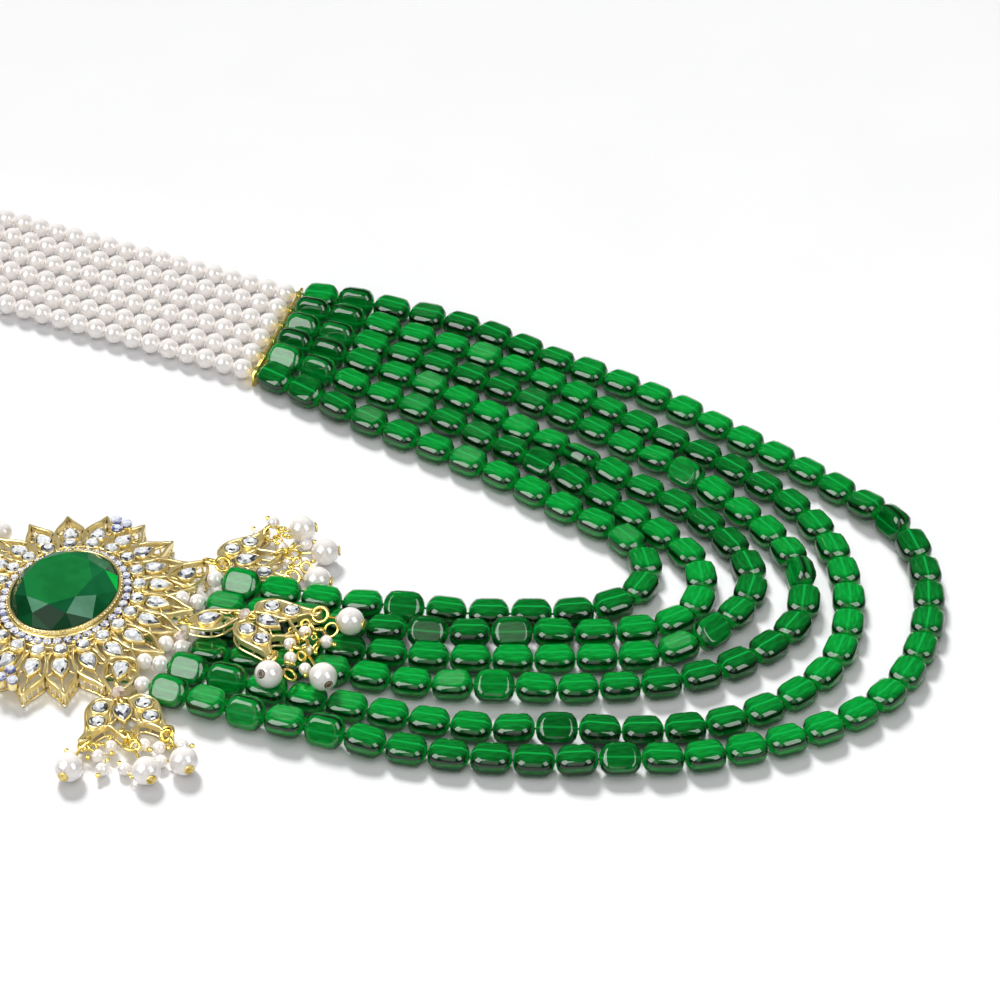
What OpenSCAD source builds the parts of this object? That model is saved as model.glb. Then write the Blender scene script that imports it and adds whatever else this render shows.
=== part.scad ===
// Layered necklace: six strings of green glass beads in a deep U, lying flat, with a spacer bar on
// one arm, an oval openwork side brooch with three drops on the other, and six strings of pearls
// round the neck to one plain clasp. Millimetres, +Z up, +Y towards the neck, table at z = 0.

/* [Green beads] */
// Length of one glass bead along its string
bead_len = 10.8; // [10.4:0.1:10.8]
// Width of a bead across its string
bead_w = 9.2; // [8.6:0.1:9.4]
// Thickness of a bead between its two flat faces
bead_t = 6; // [5.4:0.1:6.4]
// Diameter of the hole drilled along a bead
bead_bore = 1.3; // [1.2:0.1:1.6]
// Diameter of the thread that the beads hang on
thread_d = 0.6; // [0.4:0.1:0.7]

/* [Pearls] */
// Diameter of a pearl of the six neck strings
pearl_d = 6.4; // [5.5:0.1:6.6]
// Diameter of a large pearl on a drop
drop_pearl_d = 8; // [7:0.5:8.5]
// Distance between neighbouring pearl strings
row_pitch = 8.4; // [8:0.1:9]

/* [Spacer and clasp] */
// Height of the spacer bar and of the two end bars
bar_h = 6.4; // [6:0.2:8]
// Thickness of those bars along the strings
bar_t = 2; // [1.6:0.2:3]
// Diameter of a string hole through a bar
bar_hole = 1.5; // [1.3:0.1:1.8]
// Length of the plain clasp barrel
clasp_len = 13; // [10:1:18]

/* [Brooch] */
// Half the width of the brooch over its petal tips
brooch_a = 41.3; // [40:0.1:43]
// Half the depth of the brooch over its petal tips
brooch_b = 35.2; // [34:0.1:37]
// Number of petals round the brooch
petals = 22; // [22]
// Height of the open gallery wall under the petals
gallery_h = 5.2; // [4.8:0.1:5.6]
// Thickness of the petal plate
plate_t = 1.2; // [1:0.1:1.4]
// Width of a metal rim round a petal
rim_w = 0.9; // [0.8:0.1:1]

/* [Drops] */
// Height of a drop's fan plate with its open wall
fan_h = 4.4; // [4:0.1:4.8]
// Wire diameter of a jump ring
ring_wire = 0.8; // [0.6:0.1:0.9]

/* [Hidden] */
$fn = 24;
STRINGS = [1, 2, 3, 4, 5, 6];

// Where the layout's zero lies from the middle of the footprint
origin_x = 39.96;
origin_y = -85.02;

// Clearance between a bore's mouth and the next piece
gap = 0.3;
// Height of a thread over the table under flat beads
thread_z = bead_t / 2 + 0.1;
pearl_z = pearl_d / 2 + 0.1;

// Spacer bar: middle, slant and the place of string k's hole
spacer_mid = [51.2, 93];
spacer_slant = 4.8;
spacer_pitch = 8.5;
function spacer_hole(k) = spacer_mid
    + (3.5 - k) * spacer_pitch * [cos(spacer_slant), sin(spacer_slant)];

// Brooch: middle, and the two bars inside its gallery that hold the strings
brooch_mid = [-94, 96.8];
string_bar_y = 24;
string_bar_w = 58;
// Diameter of the small pearl between each string's last bead and the brooch
joining_d = 4.8;

// Routes of the green strings, one row each, from the spacer round the U to the brooch:
// points [x, y] on the table, the point where its last bead ends, and its number of beads
ROUTE = 0;
END = 1;
COUNT = 2;
strings = [
    [[[72, 88], [74, 76], [76, 42], [68, 8], [61, -26], [49, -59],
      [36, -92], [18, -121], [-14, -135], [-49, -134], [-76, -115],
      [-97, -85], [-110, -51], [-118, -17], [-120, 19], [-120, 43],
      [-119, 53]], [-119, 59], 44],
    [[[63, 87], [65, 76], [64, 42], [57, 7], [45, -27], [34, -61],
      [17, -92], [-12, -111], [-46, -115], [-76, -96], [-92, -65],
      [-103, -31], [-107, 5], [-109, 41], [-109, 53]], [-109, 58], 39],
    [[[54, 86], [55, 76], [53, 42], [45, 7], [34, -27], [21, -59],
      [1, -89], [-28, -101], [-59, -84], [-77, -53], [-89, -19], [-94, 15],
      [-97, 38], [-99, 50]], [-99, 56], 35],
    [[[46, 85], [46, 75], [42, 40], [31, 7], [19, -28], [7, -61],
      [-16, -84], [-50, -75], [-67, -43], [-79, -9], [-86, 26], [-88, 50]],
      [-88, 56], 31],
    [[[38, 85], [36, 74], [30, 40], [20, 7], [8, -27], [-8, -60],
      [-17, -68], [-28, -72], [-38, -70], [-47, -61], [-57, -39], [-70, -6], [-75, 30], [-79, 54]],
      [-79, 60], 28],
    [[[29, 84], [25, 73], [16, 40], [8, 6], [-4, -28], [-8, -41], [-16, -51],
      [-27, -55], [-38, -51], [-46, -40], [-51, -28], [-62, 6], [-66, 42], [-69, 53]], [-69, 59], 24]
];

// Beads that lie turned on their string: string, bead counted from the spacer, turn in degrees
turned = [
    [1, 18, 70], [1, 32, 38], [1, 43, 62], [2, 29, 40], [2, 38, 38], [3, 12, 42], [3, 17, 66],
    [3, 27, 36], [4, 18, 40], [4, 9, -35], [5, 20, 44], [5, 22, 46], [5, 8, 30], [6, 19, 42],
    [6, 22, 36], [6, 23, 66]
];
// Turn of the first two beads of every string, which stand nearly on edge side by side
first_turns = [58, 48];

// Stations round the brooch: petal k points along its oval's normal
pear_oval = [30.7, 25.7];
round_oval = [24.8, 20.2];
function even_angle(oval, f) =
    f + (oval[0] * oval[0] - oval[1] * oval[1]) / (oval[0] * oval[0] + oval[1] * oval[1])
        / 4 * 180 / PI * sin(2 * f);
function on_oval(oval, t) = [oval[0] * cos(t), oval[1] * sin(t)];
function normal_angle(oval, t) = atan2(oval[0] * sin(t), oval[1] * cos(t));
function oval_points(oval, n) = [for (i = [0 : n - 1]) on_oval(oval, 360 * i / n)];

// Half outlines, one side each: [along, across], a leaf from its base to its point, a pear-shaped
// stone from its round end to its point, and one side of a drop's fan from its neck to its V
leaf_side = [[-6.2, 2], [-3.5, 3.3], [-1, 4.1], [1.5, 4.35], [4, 3.7], [6, 2.5], [7.8, 1.3],
    [9.3, 0.6], [10.6, 0]];
pear_side = [[-2.6, 0], [-2.4, 1], [-1.7, 1.75], [-0.5, 2.1], [0.8, 1.8], [2, 1.1], [3.4, 0]];
fan_side = [[-7.4, 0], [-7.3, 1.2], [-6.4, 2.2], [-7.3, 3.8], [-7.6, 5.8], [-6.3, 8],
    [-3.5, 9.8], [0, 10.3], [4, 10.6], [6.6, 11.2], [8.8, 12.8], [9.2, 11], [7, 9.4],
    [5, 7], [3.9, 4.4], [6, 2.8], [10, 0.3]];
function both_sides(side) = concat(
    [for (p = side) p],
    [for (i = [len(side) - 1 : -1 : 0]) if (abs(side[i][1]) > 0.001) [side[i][0], -side[i][1]]]);
function grown(side, by) = [for (p = side) p * (1 + by)];

// Lobes that carry the two outer drops: middle and pointing angle, one on each side
lobes = [[23.7, -27.9, -14], [-23.7, -27.9, 194]];
lobe_reach = 7.6;

// Three drops: middle of the fan, direction it hangs in, height of its underside, and for each
// of its three large pearls its direction, its distance from the fan's eye and its own rings
MID = 0;
DIR = 1;
BASE = 2;
PINS = 3;
TURN = 0;
REACH = 1;
RINGS = 2;
drops = [
    [[-54, 59.1], 302, 0.2, [[-2, 11.2, 0], [-9, 16, 1], [-16, 12.8, 0]]],
    [[-87.6, 36.2], 258, 7.3, [[15, 10.4, 0], [-32, 20.5, 1], [-62, 8.8, 0]]],
    [[-133.3, 63.2], 210, 0.2, [[14, 14.4, 0], [11, 17.9, 1], [-28, 13.6, 0]]]
];
fan_eye = -5.8;
fan_loops = [[8.1, 10.6], [8.3, 0], [8.1, -10.6]];

// Leaf link between the brooch and the middle drop: middle, direction, height of its underside
link_mid = [-91.4, 51.2];
link_dir = 309;
link_base = 7.3;
link_h = 3.2;
link_reach = 6.6;

// Neck loop: where the pearl strings start to turn, how far each one rises to its end bar, with a
// wider space in the middle for the clasp, and half the distance between the bars
neck_x = -18;
neck_y = 205;
neck_rise = [102, 94.6, 87.2, 76.8, 69.4, 62];
bar_gap = clasp_len / 2 + 1;
function far_row(k) = spacer_hole(k) + [0.25, bar_t / 2 + gap + 0.3];
function near_row(k) = [-69 - (6 - k) * row_pitch,
    brooch_mid[1] + edge_y(-69 - (6 - k) * row_pitch - brooch_mid[0]) + 1.2];
// How far the brooch's petal edge reaches up at a given distance from its middle line
function edge_y(x) = (brooch_b + 0.3) * sqrt(1 - x * x / (brooch_a * brooch_a));

// Points of a Catmull-Rom curve through p, n to a span, with the ends carried on straight
function span_point(a, b, c, d, t) =
    (2 * b + (c - a) * t + (2 * a - 5 * b + 4 * c - d) * t * t
        + (3 * b - a - 3 * c + d) * t * t * t) / 2;
function carried(p) = concat([2 * p[0] - p[1]], p, [2 * p[len(p) - 1] - p[len(p) - 2]]);
function curve(p, n) = let (q = carried(p)) concat(
    [for (i = [1 : len(q) - 3], s = [0 : n - 1])
        span_point(q[i - 1], q[i], q[i + 1], q[i + 2], s / n)], [q[len(q) - 2]]);

// Length along a line of points up to each of them
function lengths(p, i = 1, sum = [0]) = i >= len(p) ? sum
    : lengths(p, i + 1, concat(sum, [sum[i - 1] + norm(p[i] - p[i - 1])]));
// The point at length s along the line p, whose lengths are d
function at_length(p, d, s, i = 1) = (s <= d[i] || i == len(p) - 1)
    ? p[i - 1] + (p[i] - p[i - 1]) * (s - d[i - 1]) / (d[i] - d[i - 1])
    : at_length(p, d, s, i + 1);
function even_points(p, n) = let (d = lengths(p), total = d[len(d) - 1])
    [for (i = [0 : n]) at_length(p, d, total * i / n)];

// String k on the table: its whole curve, its number of beads and the joints between the beads
function bead_start(k) = spacer_hole(k) - [0, bar_t / 2 + 0.5];
function green_curve(k) =
    curve(concat([bead_start(k)], strings[k - 1][ROUTE], [strings[k - 1][END]]), 8);
function flat_joints(k) = even_points(green_curve(k), strings[k - 1][COUNT]);

// Turn of bead i on string k, and how high its middle lies over the table because of it
function told_turn(k, i) = [for (t = turned) if (t[0] == k && t[1] == i) t[2]];
function bead_turn(k, i) = let (told = told_turn(k, i))
    i < 2 ? first_turns[i] : len(told) > 0 ? told[0] : 5 * sin(137.5 * i + 61 * k);
// Half the width of a bead's flat faces
flat_half = sqrt(bead_w * bead_w - bead_t * bead_t) / 2;
function bead_rise(k, i) = let (a = abs(bead_turn(k, i)))
    0.15 + (tan(a) < flat_half / bead_t * 2 ? flat_half * sin(a) + bead_t / 2 * cos(a) : bead_w / 2);
function joint_z(k, i, n) = max(i > 0 ? bead_rise(k, i - 1) : 0, i < n ? bead_rise(k, i) : 0);
function joints(k) = let (p = flat_joints(k), n = len(p) - 1)
    [for (i = [0 : n]) [p[i][0], p[i][1], joint_z(k, i, n)]];

// Tube along the points p: rings of `sides` corners, each square to the way there
function way(p, i) = let (n = len(p) - 1,
    v = p[min(i + 1, n)] - p[max(i - 1, 0)]) v / norm(v);
function ring_points(p, i, r, sides) = let (w = way(p, i), s0 = cross(w, [0, 0, 1]),
    s = s0 / norm(s0), u = cross(s, w))
    [for (j = [0 : sides - 1]) p[i] + r * (cos(360 * j / sides) * s + sin(360 * j / sides) * u)];
module tube(p, r, sides) {
    n = len(p);
    polyhedron(
        points = [for (i = [0 : n - 1]) each ring_points(p, i, r, sides)],
        faces = concat(
            [[for (j = [sides - 1 : -1 : 0]) j]],
            [for (i = [0 : n - 2], j = [0 : sides - 1]) let (a = i * sides, k = (j + 1) % sides)
                [a + k, a + sides + k, a + sides + j, a + j]],
            [[for (j = [0 : sides - 1]) (n - 1) * sides + j]]));
}

// Puts a piece made along +X between two points of a string, turned on that line
module between(a, b, turn) {
    v = b - a;
    translate((a + b) / 2)
        rotate([0, -asin(v[2] / norm(v)), atan2(v[1], v[0])])
            rotate([turn, 0, 0]) children();
}

// One tumbled glass bead along X: a barrel with rounded ends, flat above and below, drilled
module glass_bead() {
    half = bead_len / 2;
    r = bead_w / 2;
    difference() {
        intersection() {
            rotate([0, 90, 0])
                rotate_extrude()
                    polygon([[0, -half], [0.2 * r, -half], [0.52 * r, 0.1 * r - half],
                        [0.82 * r, 0.31 * r - half], [r, 0.7 * r - half], [r, half - 0.7 * r],
                        [0.82 * r, half - 0.31 * r], [0.52 * r, half - 0.1 * r],
                        [0.2 * r, half], [0, half]]);
            cube([bead_len + 1, bead_w + 1, bead_t], center = true);
        }
        rotate([0, 90, 0]) cylinder(d = bead_bore, h = bead_len + 1, center = true);
    }
}

module green_string(k) {
    p = joints(k);
    color("#0b6b2c")
        for (i = [0 : len(p) - 2])
            between(p[i], p[i + 1], bead_turn(k, i)) glass_bead();
}

// String k leaves its last green bead at last_joint and ends in the brooch's lower string bar
string_end_z = 2.9;
function last_joint(k) = let (p = joints(k)) p[len(p) - 1];
function string_end(k) = [strings[k - 1][END][0], brooch_mid[1] - string_bar_y + 0.5, string_end_z];

module thread(k) {
    p = joints(k);
    hole = spacer_hole(k);
    color("#1f7a3f")
        tube(concat([[hole[0] + 0.1, hole[1] + bar_t / 2 + 0.1, p[0][2]]], p, [string_end(k)]),
            thread_d / 2, 6);
}

// Puts children at string k's last joint, X along the string towards the brooch
module at_joint(k) {
    v = string_end(k) - last_joint(k);
    translate(last_joint(k)) rotate([0, -asin(v[2] / norm(v)), atan2(v[1], v[0])]) children();
}

// A pearl drilled along Z: half a disc, less its bore, turned round
module drilled_pearl(d, bore) {
    rotate_extrude($fn = 32)
        difference() {
            circle(d = d, $fn = 32);
            translate([-d, -d]) square([d + bore / 2, 2 * d]);
        }
}

// The pearls between the last green beads and the brooch, each drilled for its thread
module joining_pearls() {
    color("#efe6e2")
        for (k = STRINGS)
            at_joint(k) translate([joining_d / 2 + 0.15, 0, 0]) rotate([0, 90, 0])
                drilled_pearl(joining_d, bead_bore);
}

// Half of the neck loop for one pearl string: straight up the arm, then a quarter turn to the
// end bar. side is 1 on the spacer's arm and -1 on the brooch's
function quarter(a, b, c, d, t) = a * pow(1 - t, 3) + 3 * b * t * pow(1 - t, 2)
    + 3 * c * t * t * (1 - t) + d * t * t * t;
function arm_points(k, side, start, lean) = let (
    turn_at = [start[0] + lean, neck_y],
    end = [neck_x + side * (bar_gap + bar_t + gap + 0.1), neck_y + neck_rise[k - 1]],
    lead = [turn_at[0] + side * 4, neck_y + 0.6 * neck_rise[k - 1]],
    tail = [end[0] + 0.52 * (turn_at[0] - end[0]), end[1]])
    concat(
        [for (s = [0 : 3]) let (q = start + (turn_at - start) * s / 4) [q[0], q[1], pearl_z]],
        [for (s = [0 : 10]) let (q = quarter(turn_at, lead, tail, end, s / 10))
            [q[0], q[1], pearl_z]]);

module far_pearls(k) {
    color("#efe6e2") tube(arm_points(k, 1, far_row(k), 8), pearl_d / 2, 8);
}

module near_pearls(k) {
    color("#f1e9e4") tube(arm_points(k, -1, near_row(k), -5), pearl_d / 2, 8);
}

// A plain bar along X with rounded ends and holes along Y
module holed_bar(length, holes) {
    difference() {
        union() {
            translate([-length / 2, -bar_t / 2, 0]) cube([length, bar_t, bar_h]);
            for (s = [-1, 1]) translate([s * length / 2, 0, 0]) cylinder(d = bar_t, h = bar_h);
        }
        for (x = holes)
            translate([x[0], 0, x[1]]) rotate([90, 0, 0])
                cylinder(d = bar_hole, h = bar_t + 2, center = true);
    }
}

module spacer_bar() {
    color("#d8b64c")
        translate([spacer_mid[0], spacer_mid[1], 0]) rotate([0, 0, spacer_slant])
            holed_bar(5 * spacer_pitch + 4,
                [for (k = STRINGS) [(3.5 - k) * spacer_pitch, joints(k)[0][2]]]);
}

// End bar on one side of the clasp: six string holes, and a socket for the clasp's pin
clasp_y = neck_y + (neck_rise[2] + neck_rise[3]) / 2;
pin_d = 2;
socket_len = 3.4;
module end_bar(side) {
    low = neck_y + neck_rise[5] - 3;
    high = neck_y + neck_rise[0] + 3;
    color("#d8b64c")
        translate([neck_x + side * (bar_gap + bar_t / 2), (low + high) / 2, 0])
            difference() {
                rotate([0, 0, 90])
                    holed_bar(high - low, [for (k = STRINGS)
                        [neck_y + neck_rise[k - 1] - (low + high) / 2, pearl_z]]);
                translate([0, clasp_y - (low + high) / 2, bar_h / 2]) rotate([0, 90, 0])
                    cylinder(d = pin_d + 0.3, h = bar_t + 1, center = true);
            }
}

// The plain clasp: one barrel with a flat underside and a headed pin through each end bar
module clasp() {
    reach = bar_gap + bar_t;
    color("#d8b64c")
        translate([neck_x, clasp_y, bar_h / 2]) {
            intersection() {
                rotate([0, 90, 0]) cylinder(d = bar_h + 0.6, h = 2 * bar_gap - 2 * gap, center = true);
                cube([clasp_len + 10, bar_h + 2, bar_h], center = true);
            }
            rotate([0, 90, 0]) cylinder(d = pin_d, h = 2 * reach + 1, center = true);
            for (s = [-1, 1])
                translate([s * (reach + 0.85), 0, 0]) rotate([0, 90, 0])
                    cylinder(d = pin_d + 1.4, h = 1.1, center = true);
        }
}

// Puts children at petal k of an oval, X outwards
module at_petal(oval, k) {
    t = even_angle(oval, -90 + 360 * k / petals);
    p = on_oval(oval, t);
    translate([p[0], p[1], 0]) rotate([0, 0, normal_angle(oval, t)]) children();
}

module leaf() { polygon(both_sides(leaf_side)); }
module pear(by) { polygon(both_sides(grown(pear_side, by))); }

// Outline of a lobe beyond the petals, with its own pear stone, pointing along X
module lobe() {
    polygon(both_sides([[-7, 1.5], [-5, 3.6], [-2.5, 4.8], [0, 4.9], [2.5, 4.2], [4.8, 2.8],
        [6.6, 1.4], [lobe_reach, 0.6]]));
}

module at_lobe(i) {
    translate([lobes[i][0], lobes[i][1], 0]) rotate([0, 0, lobes[i][2]]) children();
}

// Whole outline of the brooch; slits narrower than 0.3 mm are closed, as solder closes them
module brooch_outline(inset) {
    offset(delta = -inset - 0.15) offset(delta = 0.15)
        union() {
            polygon(oval_points([29, 24.5], 44));
            for (k = [0 : petals - 1]) at_petal(pear_oval, k) leaf();
            for (i = [0, 1]) at_lobe(i) lobe();
        }
}

// The two slots of one petal, either side of its collet and of the rib to its point
module petal_slots() {
    difference() {
        offset(delta = -rim_w) leaf();
        pear(0.28);
        translate([-8, -0.35]) square([20, 0.7]);
        translate([-9, -6]) square([5.4, 12]);
    }
}

// A collet: a closed cup with an upright rim round a stone's seat
module collet(h) {
    difference() {
        linear_extrude(h) pear(0.26);
        translate([0, 0, 1]) linear_extrude(h) pear(0.06);
    }
}

// Bore through the gallery wall and the string bars for each string, and the jump rings' holes
ring_hole = 1.9;
tip_eye = [0, -brooch_b - 0.9];
tip_eye_z = gallery_h + 3.6;
eye_out = [7.2, 5.6];
function lobe_eye(i) = [lobes[i][0], lobes[i][1]]
    + eye_out[i] * [cos(lobes[i][2]), sin(lobes[i][2])];
EYES = [tip_eye, lobe_eye(0), lobe_eye(1)];

module brooch_frame() {
    plate_z = gallery_h;
    color("#cfae55")
        translate([brooch_mid[0], brooch_mid[1], 0])
            difference() {
                union() {
                    // bottom rim, posts and petal plate
                    linear_extrude(1.1)
                        difference() { brooch_outline(0); brooch_outline(1.2); }
                    translate([0, 0, 1])
                        linear_extrude(plate_z - 0.9)
                            difference() {
                                brooch_outline(0.15);
                                brooch_outline(1);
                                for (k = [0 : petals - 1], s = [-1, 1])
                                    at_petal(pear_oval, k)
                                        translate([3.2, s * 2.6]) rotate([0, 0, s * -32])
                                            translate([-4, -1.2]) square([10, 2.4]);
                            }
                    translate([0, 0, plate_z])
                        linear_extrude(plate_t)
                            difference() {
                                brooch_outline(0);
                                for (k = [0 : petals - 1]) at_petal(pear_oval, k) petal_slots();
                            }
                    // collets of the petal stones
                    for (k = [0 : petals - 1])
                        at_petal(pear_oval, k) translate([0, 0, plate_z + 0.2]) collet(2.2);
                    for (i = [0, 1])
                        at_lobe(i) translate([-1, 0, plate_z + 0.2]) collet(2.2);
                    // raised ring of the small stones, stone channel and centre bezel
                    translate([0, 0, plate_z + 0.4])
                        linear_extrude(1.6) polygon(oval_points([27.2, 22.6], 44));
                    translate([0, 0, plate_z + 0.6])
                        linear_extrude(3) polygon(oval_points([22.2, 18.4], 44));
                    translate([0, 0, plate_z + 0.8])
                        linear_extrude(4.6) polygon(oval_points([19.3, 15.6], 44));
                    for (k = [0 : petals - 1])
                        at_petal(round_oval, k)
                            translate([0, 0, plate_z + 1.6]) cylinder(d = 4.5, h = 1.6);
                    // flat eye at each lobe's tip, and a raised one over the lowest petal's tip
                    for (i = [0, 1])
                        translate([lobe_eye(i)[0], lobe_eye(i)[1], plate_z]) cylinder(d = 3.8, h = 1);
                    translate([0, tip_eye[1] + 3, plate_z + 0.2]) cylinder(d = 2.6, h = 3.9);
                    translate([-1.3, tip_eye[1], tip_eye_z - 0.5]) cube([2.6, 3, 1]);
                    translate([0, tip_eye[1], tip_eye_z - 0.5]) cylinder(d = 3.8, h = 1);
                    // string bars
                    for (s = [-1, 1])
                        translate([-string_bar_w / 2 + (s < 0 ? 0 : 4), s * string_bar_y - 1, 1.2])
                            cube([string_bar_w - (s < 0 ? 0 : 8), 2, gallery_h - 1]);
                }
                // seat of the centre stone
                translate([0, 0, plate_z + 2]) linear_extrude(6) polygon(oval_points([18.5, 14.8], 44));
                // holes for the strings
                for (k = STRINGS)
                    translate([-brooch_mid[0], -brooch_mid[1], 0]) at_joint(k) rotate([0, 90, 0])
                        cylinder(d = bar_hole + 0.3, h = 20);
                for (k = STRINGS)
                    translate([near_row(k)[0] - brooch_mid[0], string_bar_y + 4, pearl_z])
                        rotate([90, 0, 0]) cylinder(d = bar_hole, h = 20, center = true);
                // eyes of the jump rings, and the wall left open under the lobes' eyes
                for (e = EYES) translate([e[0], e[1], -1]) cylinder(d = ring_hole, h = 12);
                for (i = [0, 1]) at_lobe(i) translate([7, 0, -1]) cylinder(d = 6.4, h = plate_z + 0.9);
            }
}

// Oval cut stone: table, crown round the girdle, and a shallow back
module centre_stone() {
    girdle_z = gallery_h + 5.1;
    color("#0e7a3a")
        translate([brooch_mid[0], brooch_mid[1], 0])
            hull() {
                translate([0, 0, girdle_z + 3.6])
                    linear_extrude(0.1) polygon(oval_points([12.7, 10.1], 8));
                translate([0, 0, girdle_z + 2.4])
                    linear_extrude(0.1)
                        polygon([for (i = [0 : 7]) on_oval([15.6, 12.4], 45 * (i + 0.5))]);
                translate([0, 0, girdle_z])
                    linear_extrude(0.5) polygon(oval_points([18.2, 14.5], 24));
                translate([0, 0, gallery_h + 2.2])
                    linear_extrude(0.1) polygon(oval_points([12, 9], 8));
            }
}

// One pear-shaped stone with a table and facets down to its girdle
module pear_stone() {
    hull() {
        linear_extrude(0.7) pear(0);
        translate([-0.1, 0, 1.5]) linear_extrude(0.1) pear(-0.42);
    }
}

module petal_stones() {
    color("#dfe3e6")
        translate([brooch_mid[0], brooch_mid[1], gallery_h + 1.35]) {
            for (k = [0 : petals - 1]) at_petal(pear_oval, k) pear_stone();
            for (i = [0, 1]) at_lobe(i) translate([-1, 0, 0]) pear_stone();
        }
}

// One fan plate in its own frame, X down its drop: top plate with slots on an open wall
module fan_outline() { polygon(both_sides(fan_side)); }
module fan() {
    wall = 0.9;
    top_t = 1.1;
    difference() {
        union() {
            linear_extrude(fan_h - 0.5)
                difference() { fan_outline(); offset(delta = -wall) fan_outline(); }
            translate([0, 0, fan_h - top_t])
                linear_extrude(top_t)
                    difference() {
                        fan_outline();
                        for (s = [-1, 1])
                            polygon([[-2, s * 3.1], [1.2, s * 3.6], [2.6, s * 3.4], [1.6, s * 2.4]]);
                        polygon([[3.6, 0], [4, 3], [6, 1.6], [7, 0], [6, -1.6], [4, -3]]);
                        for (s = [-1, 1])
                            polygon([[5.2, s * 10], [5.6, s * 8.9], [7.4, s * 10.4], [6.6, s * 10.6]]);
                    }
            // relief of the five stones' collets
            translate([-0.5, 0, fan_h - top_t]) linear_extrude(top_t + 0.9) pear(0.2);
            for (s = [-1, 1]) {
                translate([-3.3, s * 6, fan_h - top_t]) cylinder(d = 5, h = top_t + 0.9);
                translate([2.6, s * 7.4, fan_h - top_t]) cylinder(d = 5, h = top_t + 0.9);
            }
        }
        // eye at the neck and three at the foot, with the wall left open under them
        translate([fan_eye, 0, -1]) cylinder(d = ring_hole, h = fan_h + 3);
        translate([fan_eye - 0.6, 0, -1]) cylinder(d = 5.6, h = fan_h - top_t + 1);
        for (e = fan_loops) {
            translate([e[0], e[1], -1]) cylinder(d = 1.5, h = fan_h + 3);
            translate([e[0] + 0.5, e[1], -1]) cylinder(d = 5.2, h = fan_h - top_t + 1);
        }
        // windows in the side walls
        for (s = [-1, 1], x = [-4.5, -1.2, 2.1])
            translate([x, s * 8 - (s < 0 ? 4 : 0), 0.9]) cube([2.2, 4, 1.8]);
    }
}

module at_drop(d) {
    translate([d[MID][0], d[MID][1], d[BASE]]) rotate([0, 0, d[DIR]]) children();
}

// A closed jump ring standing upright along X, its middle at the origin
module jump_ring(r) {
    rotate([90, 0, 0]) rotate_extrude($fn = 32) translate([r, 0]) circle(d = ring_wire, $fn = 13);
}

// The top ring of a drop hangs in an eye of the brooch or link at `from` and in the fan's own eye
function drop_point(d, p) = [
    d[MID][0] + p[0] * cos(d[DIR]) - p[1] * sin(d[DIR]),
    d[MID][1] + p[0] * sin(d[DIR]) + p[1] * cos(d[DIR]), d[BASE] + p[2]];
plate_mid = gallery_h + plate_t / 2;
fan_plate_mid = fan_h - 0.55;
function brooch_point(e, z) = [brooch_mid[0] + e[0], brooch_mid[1] + e[1], z];
function link_point(x, z) = [link_mid[0] + x * cos(link_dir), link_mid[1] + x * sin(link_dir),
    link_base + z];

// An upright ring through the two points a and b
module ring_through(a, b) {
    m = (a + b) / 2;
    v = b - a;
    translate(m) rotate([0, 0, atan2(v[1], v[0])]) jump_ring(norm(v) / 2);
}

// A large pearl's pin ends in a round eye, which hangs upright in the fan's own eye, or lies
// flat in the ring between the two
link_r = 2;
link_step = 2 * link_r - ring_wire - 0.3;
first_ring = link_r - 0.2;

// Puts children at the fan's loop j, X along that pearl's pin and level with the fan's plate
module at_pin(d, j) {
    at_drop(d)
        translate([fan_loops[j][0], fan_loops[j][1], fan_plate_mid])
            rotate([0, 0, d[PINS][j][TURN]]) children();
}

module drop_ring(d) {
    color("#e3c45c")
        for (j = [0 : 2])
            if (d[PINS][j][RINGS] > 0)
                at_pin(d, j) translate([first_ring, 0, 0]) jump_ring(link_r);
}

// Each large pearl is glued on its pin: eye, wire, pearl and a flat head beyond it
module drop_pearls(d) {
    color("#f3ebe6")
        for (j = [0 : 2]) {
            rings = d[PINS][j][RINGS];
            eye_x = first_ring + link_step * rings;
            reach = d[PINS][j][REACH];
            at_pin(d, j) {
                translate([eye_x, 0, 0]) rotate([rings * 90, 0, 0]) jump_ring(link_r);
                translate([eye_x + link_r - 0.1, 0, 0]) rotate([0, 90, 0])
                    cylinder(d = 1, h = reach - eye_x - link_r + 0.1);
                translate([reach, 0, 0]) sphere(d = drop_pearl_d, $fn = 40);
                translate([reach + drop_pearl_d / 2 - 0.3, 0, 0]) rotate([0, 90, 0])
                    cylinder(d = 2.6, h = 0.8);
            }
        }
}

// Leaf link: open leaf frame on a low wall, an eye at each end
module link_outline() {
    polygon(both_sides([[-link_reach - 1.6, 0.4], [-link_reach - 0.8, 1.6], [-5, 3.2], [-2.5, 4.2],
        [0, 4.2], [2.5, 3.3], [5, 2.1], [link_reach + 0.4, 1.5], [link_reach + 1.6, 0.5]]));
}

module leaf_link() {
    color("#cfae55")
        translate([link_mid[0], link_mid[1], link_base]) rotate([0, 0, link_dir])
            difference() {
                union() {
                    linear_extrude(link_h - 0.4)
                        difference() { link_outline(); offset(delta = -0.8) link_outline(); }
                    translate([0, 0, link_h - 1])
                        linear_extrude(1)
                            difference() {
                                link_outline();
                                for (s = [-1, 1])
                                    polygon([[1.8, s * 0.5], [1.6, s * 2.6], [4.2, s * 1.6],
                                        [4.6, s * 0.5]]);
                            }
                    translate([-1.6, 0, link_h - 1]) linear_extrude(1.8) pear(0.15);
                }
                for (s = [-1, 1]) {
                    translate([s * link_reach, 0, -1]) cylinder(d = 1.6, h = link_h + 3);
                    translate([s * link_reach, 0, -1]) cylinder(d = 5.4, h = link_h);
                }
            }
}

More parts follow.
